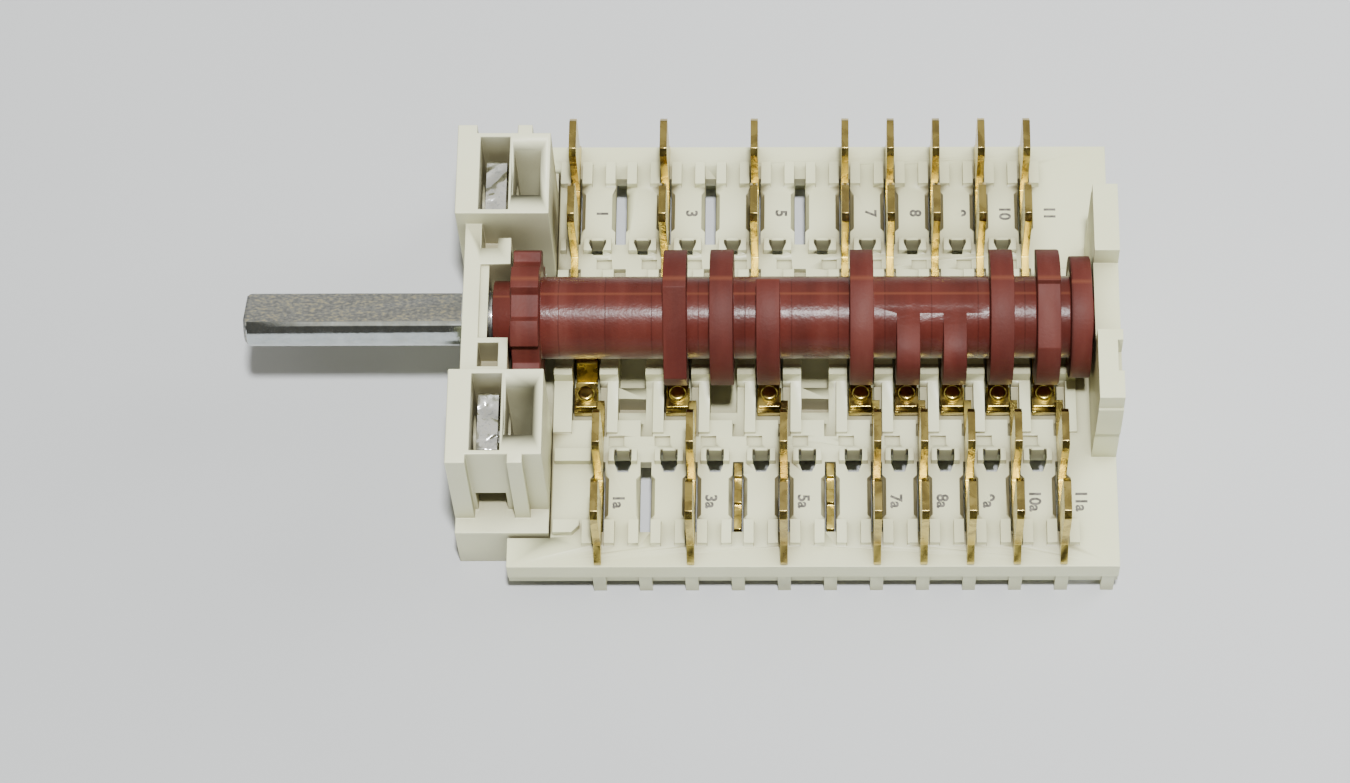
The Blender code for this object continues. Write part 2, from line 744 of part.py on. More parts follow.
def make_bracket():
    bracket = extruded("front_bracket", [bracket_section()], "X", BRACKET_FRONT, BRACKET_BACK)
    above = EAR_TOP + REACH
    web_back = WHEEL_FRONT - RUNNING_GAP
    web_front = web_back - SADDLE_WEB
    cap_back = washer_front() - SEAT_GAP
    behind = BRACKET_BACK + REACH
    post_front = BRACKET_FRONT + FRONT_POST_WIDTH
    post_back = BRACKET_BACK - REAR_POST_INSET
    post_middle = post_back - REAR_POST_WIDTH

    setback = rectangle(BRACKET_FRONT - REACH, WALL_FRONT, -EAR_INNER, EAR_INNER)
    wheel_well = rectangle(web_back, behind, -EAR_INNER, EAR_INNER)
    cap = rectangle(WALL_BACK, cap_back, -SADDLE_INNER, SADDLE_INNER)
    throat = rectangle(cap_back, web_back + REACH, -SADDLE_INNER, SADDLE_INNER)
    pocket_end = SADDLE_INNER + SADDLE_RIM
    near_pocket = rectangle(WALL_BACK, web_front, -pocket_end - NEAR_POCKET_LENGTH, -pocket_end)
    lug_front = web_back - FAR_LUG_LENGTH
    far_pocket = rectangle(WALL_BACK, lug_front, FAR_POCKET_INNER, EAR_INNER)
    far_notch = rectangle(lug_front, web_back + REACH, FAR_LUG_OUTER, EAR_INNER)
    cut(bracket,
        extruded("wall_setback", [setback], "Z", -REACH, above),
        extruded("saddle_cap", [cap], "Z", AXIS_Z + SADDLE_CAP_RISE, above),
        extruded("saddle_throat", [throat], "Z", AXIS_Z, above),
        extruded("saddle_pockets", [near_pocket, far_pocket], "Z", SADDLE_POCKET_FLOOR, above),
        extruded("saddle_notch", [far_notch], "Z", FAR_NOTCH_FLOOR, above))

    ledges = []
    for side in (1, -1):
        ledges.append(side_rectangle((web_back + behind) / 2, (behind - web_back) / 2,
                                     EAR_INNER - DETENT_LEDGE, EAR_INNER + REACH, side))
    well = extruded("wheel_well", [wheel_well], "Z", BRACKET_FLOOR, above)
    cut(well, extruded("detent_ledges", ledges, "Z", 0, DETENT_LEDGE_TOP))
    cut(bracket, well)

    cut(bracket,
        rod("journal_seat", FRONT_JOURNAL_RADIUS + RUNNING_GAP, cap_back, web_back + REACH,
            0, AXIS_Z),
        rod("shaft_hole", SHAFT_RADIUS + BORE_GAP, WALL_FRONT - REACH, cap_back + REACH,
            0, AXIS_Z))

    recesses = []
    nut_slots = []
    pockets = []
    windows = []
    slot_floor = AXIS_Z - NUT_FLATS / math.sqrt(3) - SEAT_GAP
    slot_x = (NUT_SLOT_FRONT + NUT_SLOT_BACK) / 2
    pocket_x = NUT_SLOT_BACK + NUT_SLOT_WALL + POCKET_WIDTH / 2
    for side in (1, -1):
        for low, high in ((post_front, post_middle), (post_back, behind)):
            recesses.append(side_rectangle((low + high) / 2, (high - low) / 2,
                                           EAR_OUTER, POST_OUTER + REACH, side))
        nut_slots.append(side_rectangle(slot_x, NUT_SLOT_WIDTH / 2, EAR_INNER + NUT_SLOT_WALL,
                                        EAR_OUTER - NUT_SLOT_WALL, side))
        pockets.append(side_rectangle(pocket_x, POCKET_WIDTH / 2, POCKET_INNER,
                                      POCKET_OUTER, side))
        windows.append(side_rectangle(slot_x, NUT_SLOT_WIDTH / 2, EAR_OUTER - WINDOW_DEPTH,
                                      POST_OUTER + REACH, side))
    cut(bracket,
        extruded("post_recesses", recesses, "Z", LEDGE_TOP, above),
        extruded("nut_slots", nut_slots, "Z", slot_floor, above),
        extruded("ear_pockets", pockets, "Z", POCKET_FLOOR, above),
        extruded("ear_windows", windows, "Z", LEDGE_TOP, LEDGE_TOP + WINDOW_HEIGHT))
    for side, name in ((1, "far"), (-1, "near")):
        cut(bracket, rod(f"screw_hole_{name}", SCREW_HOLE_RADIUS, BRACKET_FRONT - REACH,
                         NUT_SLOT_BACK + NUT_SLOT_WALL + POCKET_WIDTH / 2,
                         side * SCREW_PITCH / 2, AXIS_Z))
    return as_part(bracket, "front_bracket", ivory)


def make_nut(side, name):
    """An M4 nut standing in its slot on a corner; its thread is left out."""
    middle = (NUT_SLOT_FRONT + NUT_SLOT_BACK) / 2
    corner = NUT_FLATS / math.sqrt(3)
    y = side * SCREW_PITCH / 2
    outline = [(y + a, AXIS_Z + b) for a, b in arc(corner, 0, 300, 5)]
    nut = extruded(name, [outline], "X", middle - NUT_THICKNESS / 2, middle + NUT_THICKNESS / 2)
    cut(nut, rod(f"{name}_bore", NUT_BORE_RADIUS, middle - NUT_THICKNESS,
                 middle + NUT_THICKNESS, y, AXIS_Z, SIDES_BORE))
    return as_part(nut, name, bright_steel)


# Rotor: the cam drum, its shaft and the washer between them.

def full(start, end):
    """A stretch at the cams' full radius, in degrees from the top towards the far side."""
    return arc(CAM_RADIUS, start, end, max(2, round(abs(end - start) / CAM_ARC_DEG)))


def valley(start, end):
    """A stretch between two lobes, just under the core's surface."""
    low = CORE_RADIUS - VALLEY_SINK
    return arc(low, start, end, max(2, round(abs(end - start) / VALLEY_ARC_DEG)))


def ramp_outline():
    """A smooth rise from the core's surface to the cams' full radius."""
    points = []
    for step in range(RAMP_STEPS):
        share = step / RAMP_STEPS
        turn = -RAMP_FOOT_DEG + (RAMP_FOOT_DEG - RAMP_HEAD_DEG) * share
        radius = CORE_RADIUS + (CAM_RADIUS - CORE_RADIUS) * (1 - math.cos(math.pi * share)) / 2
        points += arc(radius, turn, turn, 1)[:1]
    return points


def cam_outlines():
    """Each cell's cam. Wired cells leave a gap from the far side round past straight down."""
    near_edge = CAM_GAP_DEG - 180
    far_edge = CAM_FAR_END_DEG - 360
    bottom_edge = 180 - CAM_GAP_DEG
    track = valley(near_edge, far_edge)
    ramp = ramp_outline() + full(-RAMP_HEAD_DEG, near_edge) + valley(near_edge,
                                                                     RAMP_FOOT_DEG - 360)
    step, step_end, facet_end = CAM_11_EDGES_DEG
    return {
        1: full(CAM_1_EDGE_DEG, bottom_edge) + valley(bottom_edge, CAM_1_EDGE_DEG + 360),
        3: full(-CAM_3_FLAT_DEG, near_edge) + track + full(far_edge, -360),
        4: full(-180, 165),
        5: full(CAM_5_EDGE_DEG, near_edge) + valley(near_edge, CAM_5_EDGE_DEG - 360),
        7: full(-CAM_7_FLAT_DEG, near_edge) + track + full(far_edge, -360),
        8: ramp,
        9: ramp,
        10: full(far_edge + 360, near_edge) + track,
        11: full(far_edge + 360, step) + arc(CAM_RADIUS - CAM_STEP, step, step_end, 1)
        + full(facet_end, near_edge) + track,
    }


def wheel_outline():
    """The detent wheel: teeth with flat-bottomed notches between them."""
    pitch = 360.0 / WHEEL_TEETH
    points = []
    for tooth in range(WHEEL_TEETH):
        middle = WHEEL_FIRST_TOOTH_DEG + tooth * pitch
        half = WHEEL_TOOTH_DEG / 2
        points += arc(WHEEL_RADIUS, middle - half, middle + half, 2)
        low = middle + half + WHEEL_NOTCH_LEAD_DEG
        high = middle + pitch - half - WHEEL_NOTCH_LEAD_DEG
        points += arc(WHEEL_RADIUS - WHEEL_NOTCH, low, high, 2)
    return points


def on_axis(outline):
    return [(a, AXIS_Z + b) for a, b in outline]


def make_drum():
    disc_back = END_WALL_X - END_DISC_GAP
    disc_front = disc_back - END_DISC_WIDTH
    drum = rod("cam_drum", CORE_RADIUS, WHEEL_BACK - WHEEL_WIDTH / 2, disc_front + REACH / 2,
               0, AXIS_Z, SIDES_DRUM)
    for number, outline in cam_outlines().items():
        middle = cell_x(number)
        join(drum, extruded(f"cam_{number}", [on_axis(outline)], "X",
                            middle - CAM_WIDTH / 2, middle + CAM_WIDTH / 2))
    join(drum,
         extruded("detent_wheel", [on_axis(wheel_outline())], "X", WHEEL_FRONT, WHEEL_BACK),
         rod("end_disc", END_DISC_RADIUS, disc_front, disc_back, 0, AXIS_Z, SIDES_DRUM),
         rod("front_journal", FRONT_JOURNAL_RADIUS, JOURNAL_FRONT, WHEEL_FRONT + REACH,
             0, AXIS_Z),
         rod("rear_journal", REAR_JOURNAL_RADIUS, disc_back - REACH,
             END_WALL_X + REAR_JOURNAL_LENGTH, 0, AXIS_Z))
    cut(drum, rod("shaft_bore", STUB_RADIUS + BORE_GAP, JOURNAL_FRONT - REACH,
                  shaft_shoulder() + STUB_LENGTH + BORE_GAP, 0, AXIS_Z))
    return as_part(drum, "cam_drum", drum_red)


def washer_front():
    return JOURNAL_FRONT - SEAT_GAP - WASHER_THICKNESS


def shaft_shoulder():
    """Where the shaft steps down to its stub, in front of the washer."""
    return washer_front() - SEAT_GAP


def make_shaft():
    shoulder = shaft_shoulder()
    profile = [
        (0, SHAFT_TIP),
        (SHAFT_RADIUS - SHAFT_CHAMFER, SHAFT_TIP),
        (SHAFT_RADIUS, SHAFT_TIP + SHAFT_CHAMFER),
        (SHAFT_RADIUS, shoulder),
        (STUB_RADIUS, shoulder),
        (STUB_RADIUS, shoulder + STUB_LENGTH),
        (0, shoulder + STUB_LENGTH),
    ]
    shaft = turned("drive_shaft", [(r, -x) for r, x in profile], 0, 0, AXIS_Z, SIDES_DRUM)
    shaft.rotation_euler = (0, -math.pi / 2, 0)
    turn = math.radians(SHAFT_FLAT_DEG)
    flat = SHAFT_RADIUS - SHAFT_FLAT
    reach = SHAFT_RADIUS + REACH
    corners = [(-reach, flat), (reach, flat), (reach, reach), (-reach, reach)]
    outline = [(a * math.cos(turn) + b * math.sin(turn),
                AXIS_Z - a * math.sin(turn) + b * math.cos(turn)) for a, b in corners]
    cut(shaft, extruded("shaft_flat", [outline], "X", SHAFT_TIP - REACH,
                        WALL_FRONT - SHAFT_FLAT_MARGIN))
    return as_part(shaft, "drive_shaft", zinc)


def make_washer():
    front = washer_front()
    back = front + WASHER_THICKNESS
    washer = rod("thrust_washer", WASHER_RADIUS, front, back, 0, AXIS_Z, SIDES_BORE)
    cut(washer, rod("washer_hole", STUB_RADIUS + BORE_GAP, front - REACH, back + REACH,
                    0, AXIS_Z, SIDES_BORE))
    return as_part(washer, "thrust_washer", bright_steel)


# Terminals.

def blade_outline():
    """The blade of a terminal: twin tabs over a foot strip, a tongue in the slot, a tail."""
    seat = WING_TOP + SEAT_GAP
    shoulder = seat + SEAT_GAP
    strip = seat + BLADE_STRIP
    top = WING_TOP + TAB_RISE
    tongue = WING_TOP - TONGUE_DROP
    tail_top = WING_TOP + BLADE_THICKNESS
    tail_bottom = WING_TOP - GROOVE_DROP + SEAT_GAP
    inner_low, inner_high = INNER_TAB - TAB_WIDTH / 2, INNER_TAB + TAB_WIDTH / 2
    outer_low, outer_high = OUTER_TAB - TAB_WIDTH / 2, OUTER_TAB + TAB_WIDTH / 2
    slack = SLOT_GAP
    groove_end = GROOVE_OUTER - slack
    return [
        (BLADE_TAIL, tail_bottom),
        (groove_end, tail_bottom),
        (groove_end, shoulder),
        (SLOT_INNER + slack, shoulder),
        (SLOT_INNER + slack, tongue),
        (SLOT_OUTER - slack, tongue),
        (SLOT_OUTER - slack, seat),
        (BLADE_FOOT, seat),
        (BLADE_FOOT, seat + FOOT_END_RISE),
        (outer_high, strip + FOOT_SLOPE_RISE),
        (outer_high, top - TAB_CHAMFER),
        (outer_high - TAB_CHAMFER, top),
        (outer_low + TAB_CHAMFER, top),
        (outer_low, top - TAB_CHAMFER),
        (outer_low, strip),
        (inner_high, strip),
        (inner_high, top - TAB_CHAMFER),
        (inner_high - TAB_CHAMFER, top),
        (inner_low + TAB_CHAMFER, top),
        (inner_low, top - TAB_CHAMFER),
        (inner_low, tail_top),
        (BLADE_TAIL, tail_top),
    ]


def make_terminal(number, side, name):
    """A blade with a flange bent over the middle of its cell, drilled for a rivet."""
    x = terminal_x(number, side)
    half = BLADE_THICKNESS / 2
    outline = [(side * a, b) for a, b in blade_outline()]
    blade = extruded(name, [outline], "X", x - half, x + half)
    edge = cell_x(number) + side * FLANGE_HALF_WIDTH
    bend = cell_x(number) - side * FLANGE_HALF_WIDTH
    neck = BLADE_TAIL + BLADE_THICKNESS / 4
    corners = [
        (edge, FLANGE_INNER),
        (edge, FLANGE_OUTER),
        (x, FLANGE_OUTER),
        (x, neck),
        (bend, neck),
        (bend, FLANGE_INNER),
    ]
    flange = extruded(f"{name}_flange", [[(a, side * b) for a, b in corners]], "Z",
                      FLANGE_UNDERSIDE, FLANGE_TOP)
    join(blade, flange)
    cut(blade, pin(f"{name}_hole", RIVET_HOLE_RADIUS, FLANGE_UNDERSIDE - REACH,
                   FLANGE_TOP + REACH, cell_x(number), side * RIVET_SEAT))
    return as_part(blade, name, brass)


def make_link_strip(number):
    """A brass link standing in the near slot of an empty cell, with three low crowns."""
    x = terminal_x(number, -1)
    low = WING_TOP - TONGUE_DROP
    crown = WING_TOP + SEAT_GAP * 2
    dip = WING_TOP - LINK_VALLEY_DROP
    inner, outer = SLOT_INNER + SLOT_GAP, SLOT_OUTER - SLOT_GAP
    step = (outer - inner) / LINK_STEPS
    outline = [(inner, low)]
    for index in range(LINK_STEPS):
        level = crown if index % 2 == 0 else dip
        outline.append((inner + index * step, level))
        outline.append((inner + (index + 1) * step, level))
    outline.append((outer, low))
    strip = extruded(f"link_strip_{number}a", [[(-a, b) for a, b in outline]], "X",
                     x - BLADE_THICKNESS / 2, x + BLADE_THICKNESS / 2)
    return as_part(strip, f"link_strip_{number}a", brass)


# Contact arms.

def arm_pivot_z():
    return FLANGE_TOP - BLADE_THICKNESS / 2


def spring_tail_z():
    return FLANGE_TOP + SPRING_GAP + SPRING_THICKNESS / 2


def contact_travel():
    return 2 * RIVET_SEAT * math.sin(math.radians(ARM_SWING_DEG))


def fixed_contact_face():
    """The underside of the fixed contact, which hangs under the far flange."""
    return FLANGE_UNDERSIDE - SEAT_GAP - CONTACT_HEIGHT


def moving_contact_face():
    return fixed_contact_face() - CONTACT_GAP_CLOSED - contact_travel()


def spring_tip_z():
    return moving_contact_face() - CONTACT_HEIGHT - SEAT_GAP - SPRING_THICKNESS / 2


def spring_path():
    """The spring's middle line from its riveted tail, over the hump, to the contact end.

    It is drawn pressed down by a cam, with the hump just clear of the cams' circle.
    """
    tail = spring_tail_z()
    hump = AXIS_Z - CAM_RADIUS - HUMP_GAP - SPRING_THICKNESS / 2
    tip = spring_tip_z()
    dip = -FLANGE_INNER + DIP_START
    flat = RIVET_SEAT - CONTACT_RADIUS - SPRING_THICKNESS
    return [
        (-RIVET_SEAT - SPRING_TAIL, tail),
        (dip, tail),
        (dip + DIP_LEAD, tail - DIP_DEPTH),
        (dip + DIP_LEAD + DIP_LENGTH, tail - DIP_DEPTH),
        (-HUMP_NEAR, hump - HUMP_CROWN),
        (-(HUMP_NEAR + HUMP_FAR) / 2, hump),
        (HUMP_FAR, hump - HUMP_CROWN),
        (flat - SPRING_KNEE, tip + SPRING_KNEE_RISE),
        (flat, tip),
        (RIVET_SEAT + SPRING_TIP, tip),
    ]


def rivet_profile(grip):
    """A rivet: domed head on top, shank through the sheet, foot below the grip."""
    return [
        (0, RIVET_HEAD_HEIGHT),
        (RIVET_DOME_RADIUS, RIVET_DOME_HEIGHT),
        (RIVET_HEAD_RADIUS, 0),
        (RIVET_SHANK_RADIUS, 0),
        (RIVET_SHANK_RADIUS, -grip),
        (RIVET_FOOT_RADIUS, -grip),
        (RIVET_FOOT_RADIUS, -grip - RIVET_FOOT_HEIGHT),
        (0, -grip - RIVET_FOOT_HEIGHT),
    ]


def contact_profile(grip):
    """A contact button with its riveted shank below. Heights run from the seat."""
    return [
        (0, CONTACT_HEIGHT),
        (CONTACT_RADIUS, CONTACT_HEIGHT),
        (CONTACT_RADIUS, 0),
        (RIVET_SHANK_RADIUS, 0),
        (RIVET_SHANK_RADIUS, -grip),
        (CONTACT_FOOT_RADIUS, -grip),
        (CONTACT_FOOT_RADIUS, -grip - CONTACT_FOOT_HEIGHT),
        (0, -grip - CONTACT_FOOT_HEIGHT),
    ]


def make_arm(number):
    """A contact spring with its rivet and its moving contact, turning at the rivet."""
    x = cell_x(number)
    spring = extruded(f"contact_spring_{number}",
                      [strip_outline(spring_path(), SPRING_THICKNESS)], "X",
                      x - SPRING_WIDTH / 2, x + SPRING_WIDTH / 2)
    tail_top = spring_tail_z() + SPRING_THICKNESS / 2
    tip_top = spring_tip_z() + SPRING_THICKNESS / 2
    hole = RIVET_SHANK_RADIUS + SEAT_GAP
    cut(spring,
        pin(f"spring_hole_{number}", hole, tail_top - REACH, tail_top + REACH, x, -RIVET_SEAT),
        pin(f"contact_hole_{number}", hole, tip_top - REACH, tip_top + REACH, x, RIVET_SEAT))
    as_part(spring, f"contact_spring_{number}", brass)

    grip = SEAT_GAP + SPRING_THICKNESS + SPRING_GAP + BLADE_THICKNESS + SPRING_GAP
    rivet = turned(f"spring_rivet_{number}", rivet_profile(grip), x, -RIVET_SEAT,
                   tail_top + SEAT_GAP)
    as_part(rivet, f"spring_rivet_{number}", rivet_brass)

    grip = SPRING_THICKNESS + 2 * SEAT_GAP
    contact = turned(f"moving_contact_{number}", contact_profile(grip), x, RIVET_SEAT,
                     tip_top + SEAT_GAP)
    as_part(contact, f"moving_contact_{number}", silver)
    pivot(f"arm_pivot_{number}", x, -RIVET_SEAT, arm_pivot_z(), [spring, rivet, contact])


def make_fixed_contact(number):
    """The fixed contact hangs under the far flange, face down."""
    grip = BLADE_THICKNESS + 2 * SEAT_GAP
    button = [(radius, -height) for radius, height in reversed(contact_profile(grip))]
    contact = turned(f"fixed_contact_{number}", button, cell_x(number), RIVET_SEAT,
                     FLANGE_UNDERSIDE - SEAT_GAP)
    return as_part(contact, f"fixed_contact_{number}", silver)


# Detent spring.

def make_detent_spring():
    """A leaf spring across the bracket whose crest rests in the wheel's lowest notch."""
    pitch = 360.0 / WHEEL_TEETH
    notches = [WHEEL_FIRST_TOOTH_DEG + (tooth + 0.5) * pitch for tooth in range(WHEEL_TEETH)]
    lowest = min(notches, key=lambda angle: abs(angle - 180.0))
    crest_y = WHEEL_RADIUS * math.sin(math.radians(lowest))
    crest_z = (AXIS_Z - WHEEL_RADIUS + DETENT_ENTRY) - DETENT_THICKNESS / 2
    foot_z = DETENT_LEDGE_TOP + SEAT_GAP + DETENT_THICKNESS / 2
    end = EAR_INNER - RUNNING_GAP
    bend = end - DETENT_LEDGE
    path = [
        (-end, foot_z),
        (-bend, foot_z),
        (crest_y - DETENT_SHOULDER, crest_z - DETENT_CREST_RISE),
        (crest_y - DETENT_CREST_HALF, crest_z),
        (crest_y + DETENT_CREST_HALF, crest_z),
        (crest_y + DETENT_SHOULDER, crest_z - DETENT_CREST_RISE),
        (bend, foot_z),
        (end, foot_z),
    ]
    middle = (WHEEL_FRONT + WHEEL_BACK) / 2
    spring = extruded("detent_spring", [strip_outline(path, DETENT_THICKNESS)], "X",
                      middle - DETENT_WIDTH / 2, middle + DETENT_WIDTH / 2)
    return as_part(spring, "detent_spring", bright_steel)


# Assembly.

make_base()
make_bracket()
make_nut(1, "nut_far")
make_nut(-1, "nut_near")
drum = smooth(make_drum())
shaft = make_shaft()
make_washer()
pivot("rotor_axis", BRACKET_BACK, 0, AXIS_Z, [drum, shaft])
for cell in WIRED_CELLS:
    make_terminal(cell, 1, f"terminal_{cell}")
    make_terminal(cell, -1, f"terminal_{cell}a")
    make_arm(cell)
    make_fixed_contact(cell)
for cell in LINKED_CELLS:
    make_link_strip(cell)
make_detent_spring()
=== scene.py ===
import json
import math

import bmesh
import bpy
from mathutils import Matrix, Vector
from mathutils.bvhtree import BVHTree

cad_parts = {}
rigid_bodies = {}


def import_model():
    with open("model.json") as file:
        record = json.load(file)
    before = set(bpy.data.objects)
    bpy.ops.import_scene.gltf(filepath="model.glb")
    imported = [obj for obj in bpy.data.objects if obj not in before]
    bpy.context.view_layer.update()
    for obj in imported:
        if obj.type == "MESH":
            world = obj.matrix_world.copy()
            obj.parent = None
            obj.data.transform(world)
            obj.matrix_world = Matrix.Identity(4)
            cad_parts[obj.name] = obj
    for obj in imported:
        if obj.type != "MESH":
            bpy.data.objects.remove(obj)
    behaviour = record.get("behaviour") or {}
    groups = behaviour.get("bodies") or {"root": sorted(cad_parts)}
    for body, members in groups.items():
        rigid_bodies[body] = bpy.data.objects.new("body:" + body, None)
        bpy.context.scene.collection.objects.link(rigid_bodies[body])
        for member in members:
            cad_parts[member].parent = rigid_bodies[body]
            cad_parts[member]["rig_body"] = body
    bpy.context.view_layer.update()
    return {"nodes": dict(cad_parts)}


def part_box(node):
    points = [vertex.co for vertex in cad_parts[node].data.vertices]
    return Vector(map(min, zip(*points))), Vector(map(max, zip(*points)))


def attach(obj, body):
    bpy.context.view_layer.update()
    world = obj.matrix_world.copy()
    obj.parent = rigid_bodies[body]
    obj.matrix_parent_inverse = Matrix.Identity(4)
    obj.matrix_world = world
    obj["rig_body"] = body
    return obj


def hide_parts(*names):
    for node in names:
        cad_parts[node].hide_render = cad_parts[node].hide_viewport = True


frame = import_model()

mm = 0.001
closeTo = 0.001 * mm
drumAxisHeight = 15.4 * mm


# Small helpers for working as by hand: pick one thing, edit it, fix its place.

def clearSelection():
    if bpy.context.object and bpy.context.object.mode != "OBJECT":
        bpy.ops.object.mode_set(mode="OBJECT")
    bpy.ops.object.select_all(action="DESELECT")


def pick(piece):
    clearSelection()
    piece.select_set(True)
    bpy.context.view_layer.objects.active = piece
    return piece


def fixPlace(piece):
    pick(piece)
    bpy.ops.object.transform_apply(location=True, rotation=True, scale=True)
    return piece


def pickFaces(piece, wanted):
    pick(piece)
    bpy.ops.object.mode_set(mode="EDIT")
    bpy.ops.mesh.select_mode(type="FACE")
    bpy.ops.mesh.select_all(action="DESELECT")
    bpy.ops.object.mode_set(mode="OBJECT")
    for face in piece.data.polygons:
        face.select = wanted(face)
    bpy.ops.object.mode_set(mode="EDIT")


def pickEdges(piece, wanted):
    pick(piece)
    bpy.ops.object.mode_set(mode="EDIT")
    bpy.ops.mesh.select_mode(type="EDGE")
    bpy.ops.mesh.select_all(action="DESELECT")
    bpy.ops.object.mode_set(mode="OBJECT")
    corners = piece.data.vertices
    for edge in piece.data.edges:
        edge.select = wanted(corners[edge.vertices[0]].co, corners[edge.vertices[1]].co)
    bpy.ops.object.mode_set(mode="EDIT")


def scaleTo(share, height):
    bpy.ops.transform.resize(value=(share, share, 1), center_override=(0, 0, height))


def cutWith(piece, cutter):
    step = piece.modifiers.new("cut", "BOOLEAN")
    step.operation = "DIFFERENCE"
    step.object = cutter
    step.solver = "EXACT"
    applyModifiers(piece)
    bpy.data.objects.remove(cutter)


def applyModifiers(piece):
    pick(piece)
    for step in list(piece.modifiers):
        bpy.ops.object.modifier_apply(modifier=step.name)
    return piece


mergeSetup = {"gap": 0.000002, "flatAngle": 0.4}
roundingSetup = {
    "angle": 32.0,           # edges sharper than this are rounded
    "tries": 5,
    "shortest": 3,           # times the width: the shortest edge that is rounded
    "reach": 2,              # times the width: how far a spoiled corner keeps edges sharp
    "slack": 0.1 * mm,
    "leastArea": 1e-10,      # smaller slivers aren't judged
    "leastAgreement": 0.15,  # between a face and the surface that it came from
}


def markRoundable(mesh, angle, shortest, spoiled, reach):
    # sharp edges are to be rounded, but not short ones, nor those beside a spoiled corner
    draft = bmesh.new()
    draft.from_mesh(mesh)
    layers = draft.edges.layers.float
    weight = layers.get("bevel_weight_edge") or layers.new("bevel_weight_edge")
    for edge in draft.edges:
        edge[weight] = 0.0
        if len(edge.link_faces) != 2 or edge.calc_face_angle(0) < angle:
            continue
        around = [other.calc_length() for vert in edge.verts for other in vert.link_edges]
        if min(around) < shortest:
            continue
        begin = edge.verts[0].co
        span = edge.verts[1].co - begin
        crowded = False
        for point in spoiled:
            share = max(0.0, min(1.0, (point - begin).dot(span) / span.length_squared))
            if (begin + span * share - point).length < reach:
                crowded = True
                break
        edge[weight] = 0.0 if crowded else 1.0
    draft.to_mesh(mesh)
    draft.free()


def spoiledCorners(mesh, original, reach):
    # corners of faces that the rounding turned against the surface they came from
    draft = bmesh.new()
    draft.from_mesh(mesh)
    bmesh.ops.triangulate(draft, faces=draft.faces)
    corners = []
    for face in draft.faces:
        if face.calc_area() < roundingSetup["leastArea"]:
            continue
        near = original.find_nearest_range(face.calc_center_median(), reach)
        agreement = max([hit[1].dot(face.normal) for hit in near], default=-1.0)
        if agreement < roundingSetup["leastAgreement"]:
            corners += [vert.co.copy() for vert in face.verts]
    draft.free()
    return corners


def roundEdges(piece, width, segments=2, angle=roundingSetup["angle"], flatFaces=True):
    # crowded edges stay sharp: each try leaves out those that came out folded
    sharp = piece.data.copy()
    source = bmesh.new()
    source.from_mesh(sharp)
    original = BVHTree.FromBMesh(source)
    source.free()
    shortest = width * roundingSetup["shortest"]
    reach = width * roundingSetup["reach"]
    spoiled = []
    for attempt in range(roundingSetup["tries"]):
        piece.data = sharp.copy()
        markRoundable(piece.data, math.radians(angle), shortest, spoiled, reach)
        step = piece.modifiers.new("roundedEdges", "BEVEL")
        step.width = width
        step.segments = segments
        step.limit_method = "WEIGHT"
        step.use_clamp_overlap = False
        applyModifiers(piece)
        found = spoiledCorners(piece.data, original, reach + roundingSetup["slack"])
        if not found:
            break
        spoiled += found
    if found:
        print("rounding left folded corners on", piece.name, len(found))
    bpy.ops.object.shade_smooth_by_angle(angle=math.radians(angle))
    if flatFaces:
        evenShading(piece)
    return piece


def evenShading(piece):
    # large faces keep flat shading and the narrow rounded strips take the bend
    even = piece.modifiers.new("evenShading", "WEIGHTED_NORMAL")
    even.keep_sharp = True
    applyModifiers(piece)


def finishPiece(piece, material, body):
    piece.data.materials.clear()
    piece.data.materials.append(material)
    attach(piece, body)
    return piece


def copyNode(node, name, triangles=True):
    # a merged copy of the moulded or stamped solid
    source = frame["nodes"][node]
    piece = bpy.data.objects.new(name, source.data.copy())
    bpy.context.scene.collection.objects.link(piece)
    pick(piece)
    bpy.ops.object.mode_set(mode="EDIT")
    bpy.ops.mesh.select_all(action="SELECT")
    bpy.ops.mesh.remove_doubles(threshold=mergeSetup["gap"])
    bpy.ops.mesh.dissolve_limited(angle_limit=math.radians(mergeSetup["flatAngle"]))
    if triangles:
        bpy.ops.mesh.quads_convert_to_tris()
    bpy.ops.object.mode_set(mode="OBJECT")
    return piece


def dressNode(node, look):
    # with the fine rounded edges that the real piece has
    piece = copyNode(node, look["name"], look.get("triangles", True))
    roundEdges(piece, look["edge"], look.get("segments", 2), look.get("angle", roundingSetup["angle"]),
               look.get("flatFaces", True))
    if node == "base_moulding":
        cutRecesses(piece, recessSetup)
    finishPiece(piece, look["material"], frame["nodes"][node]["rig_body"])
    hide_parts(node)
    return piece


# Camera and light.

cameraSetup = {
    "target": (14.375 * mm, -4.87 * mm, 7.0 * mm),
    "distance": 435.9 * mm,
    "tilt": 25.5,            # from straight down, towards the near side
    "roll": -0.1,
    "lens": 106.2,
    "sideShift": -0.1037,    # the object stands right of the picture's middle
}


def makeCamera(setup):
    bpy.ops.object.camera_add()
    camera = bpy.context.object
    camera.name = "photoCamera"
    turn = Matrix.Rotation(math.radians(setup["tilt"]), 4, "X")
    turn = turn @ Matrix.Rotation(math.radians(setup["roll"]), 4, "Z")
    back = turn @ Vector((0, 0, setup["distance"]))
    camera.matrix_world = Matrix.Translation(Vector(setup["target"]) + back) @ turn
    camera.data.lens = setup["lens"]
    camera.data.sensor_width = 36
    camera.data.shift_x = setup["sideShift"]
    camera.data.clip_start = 0.01
    bpy.context.scene.camera = camera


